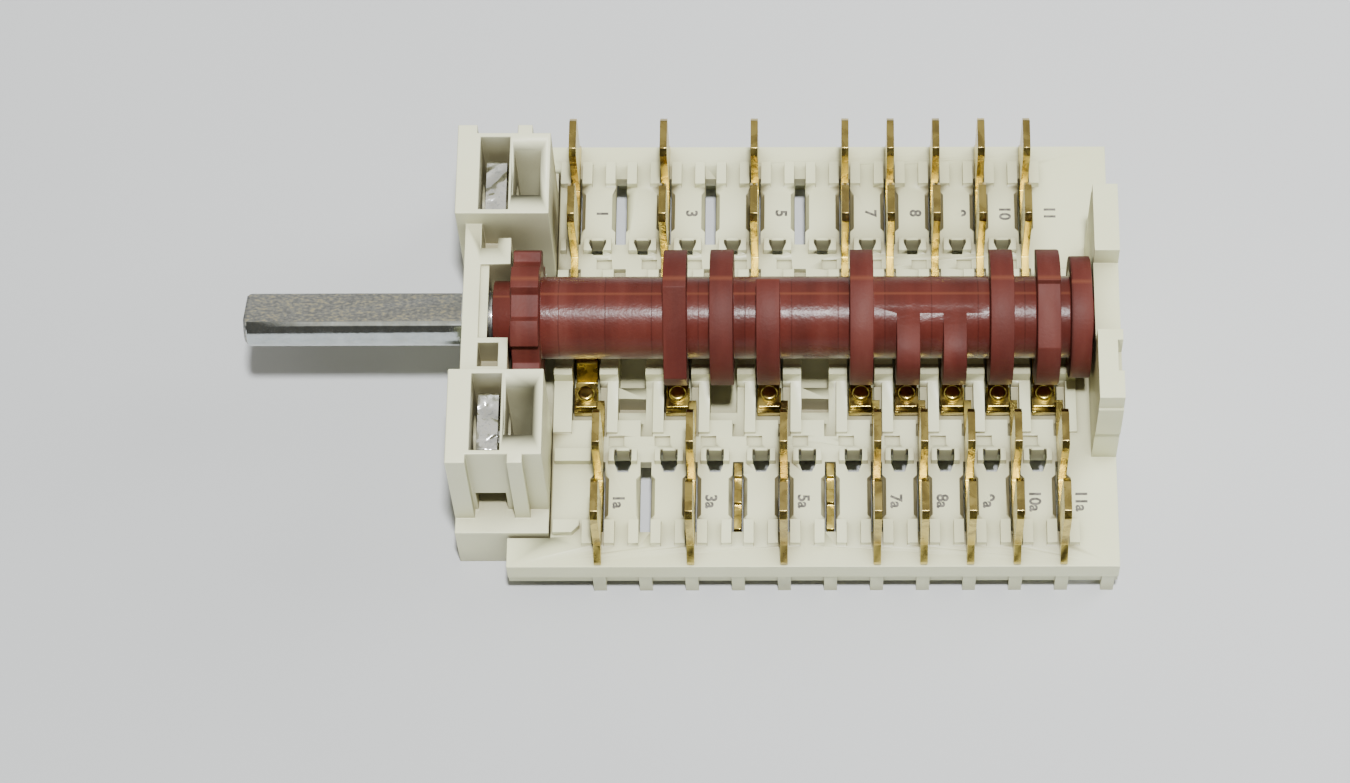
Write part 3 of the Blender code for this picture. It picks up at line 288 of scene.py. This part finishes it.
lightSetup = {
    "aim": (0.01, 0.0, 0.01),
    "overhead": {"place": (0.04, -0.17, 0.75), "size": 0.055, "power": 10.0,
                 "tint": (0.985, 1.0, 1.0)},
    "window": {"place": (0.52, 0.22, 0.45), "size": 0.40, "power": 1.9,
               "tint": (0.97, 0.99, 1.0)},
    "zenith": (1.0, 0.97, 0.85),
    "horizon": (0.13, 0.125, 0.11),
    "worldStrength": 0.40,
    "glossBoost": 0.50,
    "wallTop": 0.35,
    "ceilingEdge": 0.80,
    "glossTilt": 0.38,       # reflections find the far side's sky lower down than the near side's
}


def makeLights(setup):
    for name in ("overhead", "window"):
        lamp = setup[name]
        bpy.ops.object.light_add(type="AREA", location=lamp["place"])
        light = bpy.context.object
        light.name = name
        light.data.shape = "DISK"
        light.data.size = lamp["size"]
        light.data.energy = lamp["power"]
        light.data.color = lamp["tint"]
        aim = Vector(setup["aim"]) - Vector(lamp["place"])
        light.rotation_euler = aim.to_track_quat("-Z", "Y").to_euler()
    # a pale ceiling over darker walls, so that metal shows both
    world = bpy.data.worlds.new("studio")
    bpy.context.scene.world = world
    world.use_nodes = True
    tree = world.node_tree
    backdrop = tree.nodes["Background"]
    place = tree.nodes.new("ShaderNodeTexCoord")
    axes = tree.nodes.new("ShaderNodeSeparateXYZ")
    ramp = tree.nodes.new("ShaderNodeValToRGB")
    ramp.color_ramp.elements[0].position = setup["wallTop"]
    ramp.color_ramp.elements[0].color = (*setup["horizon"], 1)
    ramp.color_ramp.elements[1].position = setup["ceilingEdge"]
    ramp.color_ramp.elements[1].color = (*setup["zenith"], 1)
    glossy = tree.nodes.new("ShaderNodeLightPath").outputs["Is Glossy Ray"]
    slant = nodeSum(tree, "MULTIPLY", (axes.outputs["Y"], setup["glossTilt"]))
    height = nodeSum(tree, "MULTIPLY_ADD", (slant, glossy, axes.outputs["Z"]))
    # polished metal sees a brighter ceiling than the one that lights the object
    strength = nodeSum(tree, "MULTIPLY_ADD", (glossy, setup["glossBoost"], setup["worldStrength"]))
    tree.links.new(place.outputs["Generated"], axes.inputs["Vector"])
    tree.links.new(height, ramp.inputs["Fac"])
    tree.links.new(ramp.outputs["Color"], backdrop.inputs["Color"])
    tree.links.new(strength, backdrop.inputs["Strength"])


def nodeSum(tree, operation, values, clamp=False):
    # one sum on patterns or plain numbers
    step = tree.nodes.new("ShaderNodeMath")
    step.operation = operation
    step.use_clamp = clamp
    for socket, value in zip(step.inputs, values):
        if isinstance(value, (int, float)):
            socket.default_value = value
        else:
            tree.links.new(value, socket)
    return step.outputs[0]


# Materials. Every pattern reads Object coordinates, which are metres here.

noiseSpan = (0.3, 0.7)       # nearly all of a noise pattern lies between these


def startMaterial(name, metallic):
    material = bpy.data.materials.new(name)
    material.use_nodes = True
    shader = material.node_tree.nodes["Principled BSDF"]
    shader.inputs["Metallic"].default_value = metallic
    return material, shader


def patternNoise(material, scale, detail, stretch=(1, 1, 1), distortion=0.0):
    tree = material.node_tree
    place = tree.nodes.new("ShaderNodeTexCoord")
    mapping = tree.nodes.new("ShaderNodeMapping")
    noise = tree.nodes.new("ShaderNodeTexNoise")
    mapping.inputs["Scale"].default_value = stretch
    noise.inputs["Scale"].default_value = scale
    noise.inputs["Detail"].default_value = detail
    noise.inputs["Distortion"].default_value = distortion
    tree.links.new(place.outputs["Object"], mapping.inputs["Vector"])
    tree.links.new(mapping.outputs["Vector"], noise.inputs["Vector"])
    return noise.outputs["Fac"]


def toneRamp(material, source, stops):
    # stops: (place, colour) pairs
    tree = material.node_tree
    ramp = tree.nodes.new("ShaderNodeValToRGB")
    band = ramp.color_ramp
    while len(band.elements) < len(stops):
        band.elements.new(0.5)
    for element, (place, colour) in zip(band.elements, stops):
        element.position = place
        element.color = (*colour, 1)
    tree.links.new(source, ramp.inputs["Fac"])
    return ramp.outputs["Color"]


def mixTones(material, first, second, share, mode="MIX"):
    tree = material.node_tree
    mix = tree.nodes.new("ShaderNodeMix")
    mix.data_type = "RGBA"
    mix.blend_type = mode
    if isinstance(share, float):
        mix.inputs[0].default_value = share
    else:
        tree.links.new(share, mix.inputs[0])
    tree.links.new(first, mix.inputs[6])
    tree.links.new(second, mix.inputs[7])
    return mix.outputs[2]


def spread(material, source, low, high):
    tree = material.node_tree
    span = tree.nodes.new("ShaderNodeMapRange")
    span.inputs["To Min"].default_value = low
    span.inputs["To Max"].default_value = high
    span.inputs["From Min"].default_value = noiseSpan[0]
    span.inputs["From Max"].default_value = noiseSpan[1]
    tree.links.new(source, span.inputs["Value"])
    return span.outputs["Result"]


def axisPosition(material, axis):
    # the place along one axis, in metres
    tree = material.node_tree
    place = tree.nodes.new("ShaderNodeTexCoord")
    axes = tree.nodes.new("ShaderNodeSeparateXYZ")
    tree.links.new(place.outputs["Object"], axes.inputs["Vector"])
    return axes.outputs[axis]


def maths(material, operation, *values, clamp=False):
    return nodeSum(material.node_tree, operation, values, clamp)


def fromAxis(material):
    # how far the place lies from the drum's axis, and its parts across and up
    up = maths(material, "SUBTRACT", axisPosition(material, "Z"), drumAxisHeight)
    across = axisPosition(material, "Y")
    squares = maths(material, "ADD", maths(material, "MULTIPLY", up, up),
                    maths(material, "MULTIPLY", across, across))
    return maths(material, "SQRT", squares), across, up


def connectLook(material, shader, tone, roughness):
    material.node_tree.links.new(tone, shader.inputs["Base Color"])
    material.node_tree.links.new(roughness, shader.inputs["Roughness"])


def lineAt(material, value, middle, halfWidth):
    # 1 on the line, falling to 0 at its edges
    away = maths(material, "ABSOLUTE", maths(material, "SUBTRACT", value, middle))
    return maths(material, "SUBTRACT", 1.0, maths(material, "DIVIDE", away, halfWidth), clamp=True)


def plainTone(material, colour):
    tone = material.node_tree.nodes.new("ShaderNodeRGB")
    tone.outputs[0].default_value = (*colour, 1)
    return tone.outputs[0]


def addBumps(material, shader, layers):
    # layers: (height pattern, strength, distance), laid one over the other
    tree = material.node_tree
    last = None
    for height, strength, distance in layers:
        bump = tree.nodes.new("ShaderNodeBump")
        bump.inputs["Strength"].default_value = strength
        bump.inputs["Distance"].default_value = distance
        tree.links.new(height, bump.inputs["Height"])
        if last:
            tree.links.new(last, bump.inputs["Normal"])
        last = bump.outputs["Normal"]
    tree.links.new(last, shader.inputs["Normal"])


mouldingLook = {
    "pale": (0.825, 0.845, 0.565),
    "warm": (0.795, 0.805, 0.500),
    "speck": (0.690, 0.680, 0.440),
    # painted shade: the dark colour that the ambient occlusion mask paints into the narrow corners
    "corner": (0.260, 0.230, 0.130),
    "paintedShadeReach": 3.5 * mm,
    "paintedShadeOpenness": 0.92,        # painted shade: corners more closed in than this are painted darker
    "paintedShadeGain": 1.25,
    "patches": 55.0,
    "grain": 5200.0,
    "flow": 495.0,
    "roughness": (0.36, 0.50),
}


def makeMouldedPlastic(name, look):
    material, shader = startMaterial(name, 0.0)
    patches = patternNoise(material, look["patches"], 3.0, distortion=0.4)
    grain = patternNoise(material, look["grain"], 2.0)
    flow = patternNoise(material, look["flow"], 2.0, stretch=(0.25, 1, 1))
    body = toneRamp(material, patches, [(0.35, look["warm"]), (0.65, look["pale"])])
    specks = toneRamp(material, grain, [(0.0, look["speck"]), (0.30, look["pale"])])
    tone = mixTones(material, body, specks, 0.25)
    # painted shade: the narrow corners are painted darker through an ambient occlusion mask
    corners = material.node_tree.nodes.new("ShaderNodeAmbientOcclusion")
    corners.samples = 8
    corners.inputs["Distance"].default_value = look["paintedShadeReach"]
    closed = maths(material, "SUBTRACT", look["paintedShadeOpenness"], corners.outputs["AO"])
    paintedCornerShade = maths(material, "MULTIPLY", closed, look["paintedShadeGain"], clamp=True)
    tone = mixTones(material, tone, plainTone(material, look["corner"]), paintedCornerShade)
    connectLook(material, shader, tone, spread(material, flow, *look["roughness"]))
    addBumps(material, shader, [(grain, 0.10, 0.00002), (flow, 0.12, 0.00004)])
    return material


drumLook = {
    "deep": (0.060, 0.0105, 0.0078),
    "mid": (0.095, 0.0180, 0.0130),
    "dusty": (0.140, 0.0400, 0.0300),
    "seamShade": (0.036, 0.0065, 0.0050),
    "partingShade": (0.170, 0.0520, 0.0270),
    "bands": 420.0,
    "grain": 2600.0,
    "roughness": (0.25, 0.37),
    "camFrom": 4.9 * mm,
    "camEdge": 0.3 * mm,
    "camRoughness": 0.26,    # the cams' rims are rubbed dull by the springs
    "firstSeam": -13.125 * mm,
    "seamPitch": 5.0 * mm,
    "seamsLeft": 20,         # seams are counted from this many pitches left of the first
    "seamWidth": 0.022,      # half the line, as a share of the pitch
    "seamShare": 0.55,
    "partingAngle": 8.7,     # from straight up, towards the far side
    "partingWidth": 0.055,   # half the line, in radians
    "partingShare": 0.75,
    "specular": 0.22,
}


def makeDrumPlastic(name, look):
    material, shader = startMaterial(name, 0.0)
    bands = patternNoise(material, look["bands"], 3.0, stretch=(1, 0.15, 0.15))
    patches = patternNoise(material, 160.0, 4.0, distortion=0.6)
    grain = patternNoise(material, look["grain"], 3.0)
    body = toneRamp(material, bands, [(0.32, look["deep"]), (0.55, look["mid"]), (0.80, look["dusty"])])
    dust = toneRamp(material, patches, [(0.35, look["mid"]), (0.75, look["dusty"])])
    tone = mixTones(material, body, dust, 0.35)
    # a faint joint at each cell, and the mould's parting line along the top
    along = maths(material, "SUBTRACT", axisPosition(material, "X"),
                  look["firstSeam"] - look["seamPitch"] * (look["seamsLeft"] + 0.5))
    place = maths(material, "FRACT", maths(material, "DIVIDE", along, look["seamPitch"]))
    seam = lineAt(material, place, 0.5, look["seamWidth"])
    away, across, up = fromAxis(material)
    angle = maths(material, "ARCTAN2", across, up)
    parting = lineAt(material, angle, math.radians(look["partingAngle"]), look["partingWidth"])
    tone = mixTones(material, tone, plainTone(material, look["seamShade"]),
                    maths(material, "MULTIPLY", seam, look["seamShare"]))
    tone = mixTones(material, tone, plainTone(material, look["partingShade"]),
                    maths(material, "MULTIPLY", parting, look["partingShare"]))
    onCam = maths(material, "DIVIDE", maths(material, "SUBTRACT", away, look["camFrom"]),
                  look["camEdge"], clamp=True)
    roughness = maths(material, "ADD", spread(material, patches, *look["roughness"]),
                      maths(material, "MULTIPLY", onCam, look["camRoughness"]))
    connectLook(material, shader, tone, roughness)
    dents = maths(material, "SUBTRACT", patches, maths(material, "MULTIPLY", seam, 0.5))
    addBumps(material, shader, [(grain, 0.70, 0.00004), (dents, 0.25, 0.00008)])
    shader.inputs["Specular IOR Level"].default_value = look["specular"]
    return material


brassLook = {
    "bright": (0.760, 0.610, 0.170),
    "plain": (0.460, 0.355, 0.085),
    "brown": (0.150, 0.112, 0.032),
    "pink": (0.310, 0.215, 0.090),
    "cut": (0.200, 0.150, 0.060),
    "cutHeight": 16.55 * mm,   # the sheared tips are darker above this
    "cutEdge": 0.25 * mm,
    "cutShare": 0.7,
    "stains": 420.0,
    "rolling": 4200.0,
    "roughness": (0.18, 0.36),
}


def makeBrass(name, look):
    material, shader = startMaterial(name, 1.0)
    stains = patternNoise(material, look["stains"], 4.0, distortion=0.8)
    rolling = patternNoise(material, look["rolling"], 2.0, stretch=(1, 0.06, 1))
    batches = patternNoise(material, 130.0, 1.0, stretch=(1, 0.3, 0.3))
    body = toneRamp(material, stains, [(0.34, look["brown"]), (0.47, look["plain"]),
                                       (0.60, look["bright"])])
    lines = toneRamp(material, rolling, [(0.3, look["plain"]), (0.7, look["bright"])])
    tone = mixTones(material, body, lines, 0.35)
    tone = mixTones(material, tone, plainTone(material, look["pink"]),
                    spread(material, batches, -0.8, 0.4))
    above = maths(material, "SUBTRACT", axisPosition(material, "Z"), look["cutHeight"])
    onTip = maths(material, "DIVIDE", above, look["cutEdge"], clamp=True)
    tone = mixTones(material, tone, plainTone(material, look["cut"]),
                    maths(material, "MULTIPLY", onTip, look["cutShare"]))
    connectLook(material, shader, tone, spread(material, stains, *look["roughness"]))
    addBumps(material, shader, [(rolling, 0.20, 0.00002), (stains, 0.35, 0.00008)])
    return material


steelLook = {
    "bright": (0.860, 0.880, 0.900),
    "plain": (0.560, 0.580, 0.600),
    "dull": (0.260, 0.270, 0.270),
    "tint": (0.560, 0.520, 0.380),
    "patches": 620.0,
    "speckles": 2400.0,
    "dents": 0.20,
    "dentDepth": 0.06 * mm,
    "detail": 4.0,
    "roughness": (0.12, 0.40),
}
nutLook = dict(
    steelLook,
    bright=(0.960, 0.975, 0.990),
    plain=(0.860, 0.880, 0.900),
    dull=(0.480, 0.500, 0.520),
    tint=(0.840, 0.830, 0.760),
    patches=430.0,
    detail=1.0,
    dents=1.0,
    dentDepth=0.8 * mm,
    roughness=(0.08, 0.18),
)
silverLook = dict(
    steelLook,
    bright=(0.86, 0.85, 0.82),
    plain=(0.74, 0.73, 0.70),
    dull=(0.55, 0.54, 0.50),
    patches=900.0,
)
zincLook = dict(
    steelLook,
    bright=(0.620, 0.665, 0.680),
    plain=(0.560, 0.600, 0.610),
    dull=(0.460, 0.490, 0.490),
    tint=(0.600, 0.610, 0.540),
    patches=700.0,
    speckles=3600.0,
    dents=0.06,
    roughness=(0.07, 0.15),
)
# the shaft's flat lies nearer the axis than its round part, and is ground instead of drawn
zincLook["ground"] = {
    "radius": 2.93 * mm,
    "edge": 0.05 * mm,
    "grain": 2900.0,
    "roughness": 0.38,
    "tones": [(0.36, (0.280, 0.285, 0.280)), (0.52, (0.385, 0.390, 0.375)),
              (0.66, (0.620, 0.570, 0.400))],
}


def makeSteel(name, look):
    material, shader = startMaterial(name, 1.0)
    patches = patternNoise(material, look["patches"], look["detail"], distortion=0.5)
    scratches = patternNoise(material, 3000.0, 3.0, stretch=(0.08, 1, 1))
    speckles = patternNoise(material, look["speckles"], 2.0, distortion=0.3)
    body = toneRamp(material, patches, [(0.32, look["dull"]), (0.50, look["plain"]),
                                        (0.64, look["bright"])])
    specks = toneRamp(material, speckles, [(0.34, look["dull"]), (0.46, look["plain"]),
                                           (0.62, look["tint"])])
    tone = mixTones(material, body, specks, 0.38)
    roughness = spread(material, patches, *look["roughness"])
    if "ground" in look:
        ground = look["ground"]
        inward = maths(material, "SUBTRACT", ground["radius"], fromAxis(material)[0])
        onFlat = maths(material, "DIVIDE", inward, ground["edge"], clamp=True)
        grain = patternNoise(material, ground["grain"], 3.0, stretch=(0.75, 1, 1), distortion=0.15)
        tone = mixTones(material, tone, toneRamp(material, grain, ground["tones"]), onFlat)
        roughness = maths(material, "ADD", roughness,
                          maths(material, "MULTIPLY", onFlat, ground["roughness"]))
    connectLook(material, shader, tone, roughness)
    addBumps(material, shader, [(scratches, 0.16, 0.00002), (speckles, 0.22, 0.00003),
                                 (patches, look["dents"], look["dentDepth"])])
    return material


inkLook = {"dark": (0.075, 0.070, 0.060), "worn": (0.200, 0.190, 0.160)}


def makeInk(name, look):
    material, shader = startMaterial(name, 0.0)
    wear = patternNoise(material, 2600.0, 3.0)
    tone = toneRamp(material, wear, [(0.40, look["dark"]), (0.62, look["worn"])])
    connectLook(material, shader, tone, spread(material, wear, 0.5, 0.7))
    return material


floorLook = {
    "pale": (0.655, 0.665, 0.680),
    "shade": (0.630, 0.640, 0.655),
    "weave": 900.0,
    # painted light: the floor's colour is multiplied from dim to bright across the table
    "bright": (1.0, 1.0, 1.0),
    "paintedDimLight": (0.830, 0.835, 0.835),
    "reach": 0.16,           # metres over which the light falls off
    "size": 6.0,
}


def makeFloor(look):
    bpy.ops.mesh.primitive_plane_add(size=look["size"], location=(0, 0, 0))
    floor = bpy.context.object
    floor.name = "tableTop"
    material, shader = startMaterial("tablePaper", 0.0)
    cloudy = patternNoise(material, 14.0, 3.0)
    weave = patternNoise(material, look["weave"], 3.0)
    tone = toneRamp(material, cloudy, [(0.35, look["shade"]), (0.65, look["pale"])])
    # painted light: the table's paper is painted brighter towards the far right, where the light is
    # stronger
    across = maths(material, "ADD", axisPosition(material, "X"), axisPosition(material, "Y"))
    along = maths(material, "ADD", 0.5, maths(material, "DIVIDE", across, look["reach"]), clamp=True)
    light = mixTones(material, plainTone(material, look["paintedDimLight"]),
                     plainTone(material, look["bright"]), along)
    tone = mixTones(material, tone, light, 1.0, mode="MULTIPLY")
    material.node_tree.links.new(tone, shader.inputs["Base Color"])
    shader.inputs["Roughness"].default_value = 0.85
    addBumps(material, shader, [(weave, 0.12, 0.0001)])
    floor.data.materials.append(material)


makeCamera(cameraSetup)
makeLights(lightSetup)
makeFloor(floorLook)
print("stage: camera, light and table are set")

cream = makeMouldedPlastic("creamPlastic", mouldingLook)
ivoryLook = dict(mouldingLook, pale=(0.835, 0.845, 0.590), warm=(0.805, 0.805, 0.525),
                 paintedShadeReach=5.5 * mm)
ivory = makeMouldedPlastic("ivoryPlastic", ivoryLook)
drumRed = makeDrumPlastic("redBrownPlastic", drumLook)
brass = makeBrass("stampedBrass", brassLook)
rivetLook = dict(brassLook, brown=(0.40, 0.27, 0.10), roughness=(0.14, 0.28))
rivetBrass = makeBrass("rivetBrass", rivetLook)
zinc = makeSteel("zincPlate", zincLook)
brightSteel = makeSteel("brightSteel", steelLook)
nutSteel = makeSteel("nutSteel", nutLook)
silver = makeSteel("silverContact", silverLook)
ink = makeInk("printedInk", inkLook)
print("stage: materials are mixed")


# Cells, and the shallow foot recesses beside them in the wings.

cellSetup = {
    "first": -10.625 * mm,
    "pitch": 5.0 * mm,
    "terminalOffset": 1.65 * mm,
    "used": (1, 3, 5, 7, 8, 9, 10, 11),
    "wingTop": 7.0 * mm,
}


def cellMiddle(number):
    return cellSetup["first"] + (number - 1) * cellSetup["pitch"]


recessSetup = {
    "reach": 10.8 * mm,
    "length": 1.2 * mm,
    "width": 1.7 * mm,
    "depth": 0.4 * mm,
    "lead": 2.5 * mm,
    "sideLead": 0.75 * mm,
    "count": 10,
}


def cutRecesses(piece, setup):
    cutters = []
    for side in (1, -1):
        for number in range(1, setup["count"] + 1):
            terminal = cellMiddle(number) - side * cellSetup["terminalOffset"]
            along = terminal + setup["lead"] + side * setup["sideLead"]
            clearSelection()
            bpy.ops.mesh.primitive_cube_add(
                size=1, location=(along, side * setup["reach"], cellSetup["wingTop"]))
            cutter = bpy.context.object
            cutter.scale = (setup["width"], setup["length"], setup["depth"] * 2)
            cutters.append(cutter)
    clearSelection()
    for cutter in cutters:
        cutter.select_set(True)
    bpy.context.view_layer.objects.active = cutters[0]
    bpy.ops.object.join()
    cutWith(piece, fixPlace(bpy.context.object))
    pick(piece)
    bpy.ops.object.shade_smooth_by_angle(angle=math.radians(roundingSetup["angle"]))
    evenShading(piece)


# Nuts: square ones of thin section, with broken corners and a thread in the bore.

nutSetup = {
    "flats": 7.0 * mm,
    "corner": 0.45 * mm,
    "edge": 0.10 * mm,
    "edgeAngle": 50.0,
    "bore": 1.95 * mm,
    "mouth": 0.25 * mm,
    "roundness": 64,
    "threadRadius": 1.90 * mm,
    "threadPitch": 0.7 * mm,
    "threadSize": 0.30 * mm,
    "threadStart": 0.45 * mm,
    "threadTurns": 2,
    "threadSteps": 40,
}


def makeNutBlank(name, thickness, setup):
    clearSelection()
    bpy.ops.mesh.primitive_cube_add(size=1)
    piece = bpy.context.object
    piece.name = name
    piece.scale = (setup["flats"], setup["flats"], thickness)
    fixPlace(piece)
    pickEdges(piece, lambda first, second: abs(first.z - second.z) > thickness / 2)
    bpy.ops.mesh.bevel(offset=setup["corner"], segments=3)
    bpy.ops.object.mode_set(mode="OBJECT")
    clearSelection()
    bpy.ops.mesh.primitive_cylinder_add(vertices=setup["roundness"], radius=setup["bore"],
                                        depth=thickness * 2)
    cutWith(piece, bpy.context.object)
    # the hole's mouths are countersunk and the outside edges eased
    rim = setup["bore"] + 0.02 * mm
    pickEdges(piece, lambda first, second: abs(first.z - second.z) < closeTo
              and max(first.xy.length, second.xy.length) < rim)
    bpy.ops.mesh.bevel(offset=setup["mouth"], segments=1)
    bpy.ops.object.mode_set(mode="OBJECT")
    return roundEdges(piece, setup["edge"], angle=setup["edgeAngle"])


def makeThread(thickness, setup):
    # a small three-sided ridge, wound along the bore
    clearSelection()
    bpy.ops.mesh.primitive_circle_add(vertices=3, radius=setup["threadSize"], fill_type="NOTHING")
    ridge = bpy.context.object
    ridge.rotation_euler = (math.radians(90), 0, 0)
    ridge.location = (setup["threadRadius"], 0, -thickness / 2 + setup["threadStart"])
    fixPlace(ridge)
    turn = ridge.modifiers.new("thread", "SCREW")
    turn.angle = math.radians(360)
    turn.screw_offset = setup["threadPitch"]
    turn.iterations = setup["threadTurns"]
    turn.steps = setup["threadSteps"]
    turn.render_steps = setup["threadSteps"]
    turn.use_normal_calculate = True
    applyModifiers(ridge)
    bpy.ops.object.mode_set(mode="EDIT")
    bpy.ops.mesh.select_all(action="SELECT")
    bpy.ops.mesh.normals_make_consistent(inside=False)
    bpy.ops.object.mode_set(mode="OBJECT")
    return ridge


def makeNut(node, name, setup):
    low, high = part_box(node)
    thickness = high[0] - low[0]
    piece = makeNutBlank(name, thickness, setup)
    ridge = makeThread(thickness, setup)
    clearSelection()
    ridge.select_set(True)
    piece.select_set(True)
    bpy.context.view_layer.objects.active = piece
    bpy.ops.object.join()
    piece.rotation_euler = (0, math.radians(90), 0)
    piece.location = (Vector(low) + Vector(high)) / 2
    fixPlace(piece)
    finishPiece(piece, nutSteel, frame["nodes"][node]["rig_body"])
    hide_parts(node)


# Rivets: one is turned up from a cylinder, the others are copies of it.

rivetSetup = {
    "headRadius": 0.95 * mm,
    "headHeight": 0.60 * mm,
    "crown": 0.42 * mm,
    "shankRadius": 0.50 * mm,
    "footRadius": 0.75 * mm,
    "footHeight": 0.30 * mm,
    "roundness": 40,
    "smoothAngle": 40.0,
}


def makeRivet(height, setup):
    # stands on its foot at the origin
    clearSelection()
    bpy.ops.mesh.primitive_cylinder_add(vertices=setup["roundness"], radius=setup["headRadius"],
                                        depth=setup["headHeight"],
                                        location=(0, 0, height - setup["headHeight"] / 2))
    rivet = fixPlace(bpy.context.object)
    rivet.name = "rivetPattern"
    grip = height - setup["headHeight"] - setup["footHeight"]
    pickFaces(rivet, lambda face: face.normal.z < -0.9)
    bpy.ops.mesh.extrude_region_move()
    scaleTo(setup["shankRadius"] / setup["headRadius"], height - setup["headHeight"])
    bpy.ops.mesh.extrude_region_move(TRANSFORM_OT_translate={"value": (0, 0, -grip)})
    bpy.ops.mesh.extrude_region_move()
    scaleTo(setup["footRadius"] / setup["shankRadius"], setup["footHeight"])
    bpy.ops.mesh.extrude_region_move(TRANSFORM_OT_translate={"value": (0, 0, -setup["footHeight"])})
    bpy.ops.object.mode_set(mode="OBJECT")
    pickEdges(rivet, lambda low, high: min(low.z, high.z) > height - closeTo)
    bpy.ops.mesh.bevel(offset=setup["crown"], segments=6, profile=0.6)
    bpy.ops.object.mode_set(mode="OBJECT")
    pick(rivet)
    bpy.ops.object.shade_smooth_by_angle(angle=math.radians(setup["smoothAngle"]))
    return rivet


def placeRivets(setup):
    names = [node for node in frame["nodes"] if node.startswith("spring_rivet_")]
    low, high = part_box(names[0])
    pattern = makeRivet(high[2] - low[2], setup)
    for node in names:
        low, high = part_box(node)
        rivet = bpy.data.objects.new("head_" + node, pattern.data.copy())
        bpy.context.scene.collection.objects.link(rivet)
        rivet.location = ((low[0] + high[0]) / 2, (low[1] + high[1]) / 2, low[2])
        fixPlace(rivet)
        finishPiece(rivet, rivetBrass, frame["nodes"][node]["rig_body"])
        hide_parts(node)
    bpy.data.objects.remove(pattern)


# Printed numbers beside the terminals, with their tops pointing away from the shaft.

numberSetup = {
    "size": 1.75 * mm,
    "weight": 0.055 * mm,
    "thickness": 0.006 * mm,
    "gap": 0.004 * mm,       # under the ink, so that it doesn't flicker with the plastic
    "farLead": 2.85 * mm,
    "farPlace": 17.2 * mm,
    "nearLead": 2.05 * mm,
    "nearPlace": -18.0 * mm,
}


def printNumber(label, place, setup):
    clearSelection()
    bpy.ops.object.text_add(location=(0, 0, 0))
    word = bpy.context.object
    word.name = "number_" + label
    word.data.body = label
    word.data.size = setup["size"]
    word.data.offset = setup["weight"]
    word.data.extrude = setup["thickness"] / 2
    word.data.align_x = "CENTER"
    word.data.align_y = "CENTER"
    bpy.ops.object.convert(target="MESH")
    word = bpy.context.object
    word.rotation_euler = (0, 0, math.radians(-90))
    word.location = place
    fixPlace(word)
    finishPiece(word, ink, frame["nodes"]["base_moulding"]["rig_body"])


def printNumbers(setup):
    height = cellSetup["wingTop"] + setup["thickness"] / 2 + setup["gap"]
    for number in cellSetup["used"]:
        middle = cellMiddle(number)
        far = middle - cellSetup["terminalOffset"] + setup["farLead"]
        near = middle + cellSetup["terminalOffset"] + setup["nearLead"]
        printNumber(str(number), (far, setup["farPlace"], height), setup)
        printNumber(str(number) + "a", (near, setup["nearPlace"], height), setup)


# Dressed pieces.

looks = {
    "base_moulding": {"name": "baseMoulding", "edge": 0.06 * mm, "material": cream,
                      "slot": "cream_moulding"},
    "front_bracket": {"name": "frontBracket", "edge": 0.12 * mm, "material": ivory,
                      "slot": "ivory_moulding"},
    "cam_drum": {"name": "camDrum", "edge": 0.10 * mm, "angle": 28.0, "material": drumRed,
                 "slot": "red_brown_moulding", "triangles": False, "flatFaces": False},
    "drive_shaft": {"name": "driveShaft", "edge": 0.20 * mm, "segments": 4, "material": zinc,
                    "slot": "zinc_plated_steel"},
    "thrust_washer": {"name": "thrustWasher", "edge": 0.05 * mm, "material": brightSteel,
                      "slot": "bright_steel"},
    "detent_spring": {"name": "detentSpring", "edge": 0.05 * mm, "material": brightSteel,
                      "slot": "bright_steel"},
}
stampedLook = {"edge": 0.06 * mm, "material": brass, "slot": "brass_sheet"}
contactLook = {"edge": 0.04 * mm, "segments": 1, "material": silver, "slot": "silver_contact"}
for node in frame["nodes"]:
    if node.startswith(("terminal_", "link_strip_", "contact_spring_")):
        looks[node] = dict(stampedLook, name="stamped_" + node)
    elif "_contact_" in node:
        looks[node] = dict(contactLook, name="button_" + node)
for node, look in looks.items():
    dressNode(node, look)
print("stage: solids are dressed", len(looks))
makeNut("nut_far", "nutFar", nutSetup)
makeNut("nut_near", "nutNear", nutSetup)
placeRivets(rivetSetup)
print("stage: nuts and rivets are in")
printNumbers(numberSetup)
print("stage: numbers are printed")
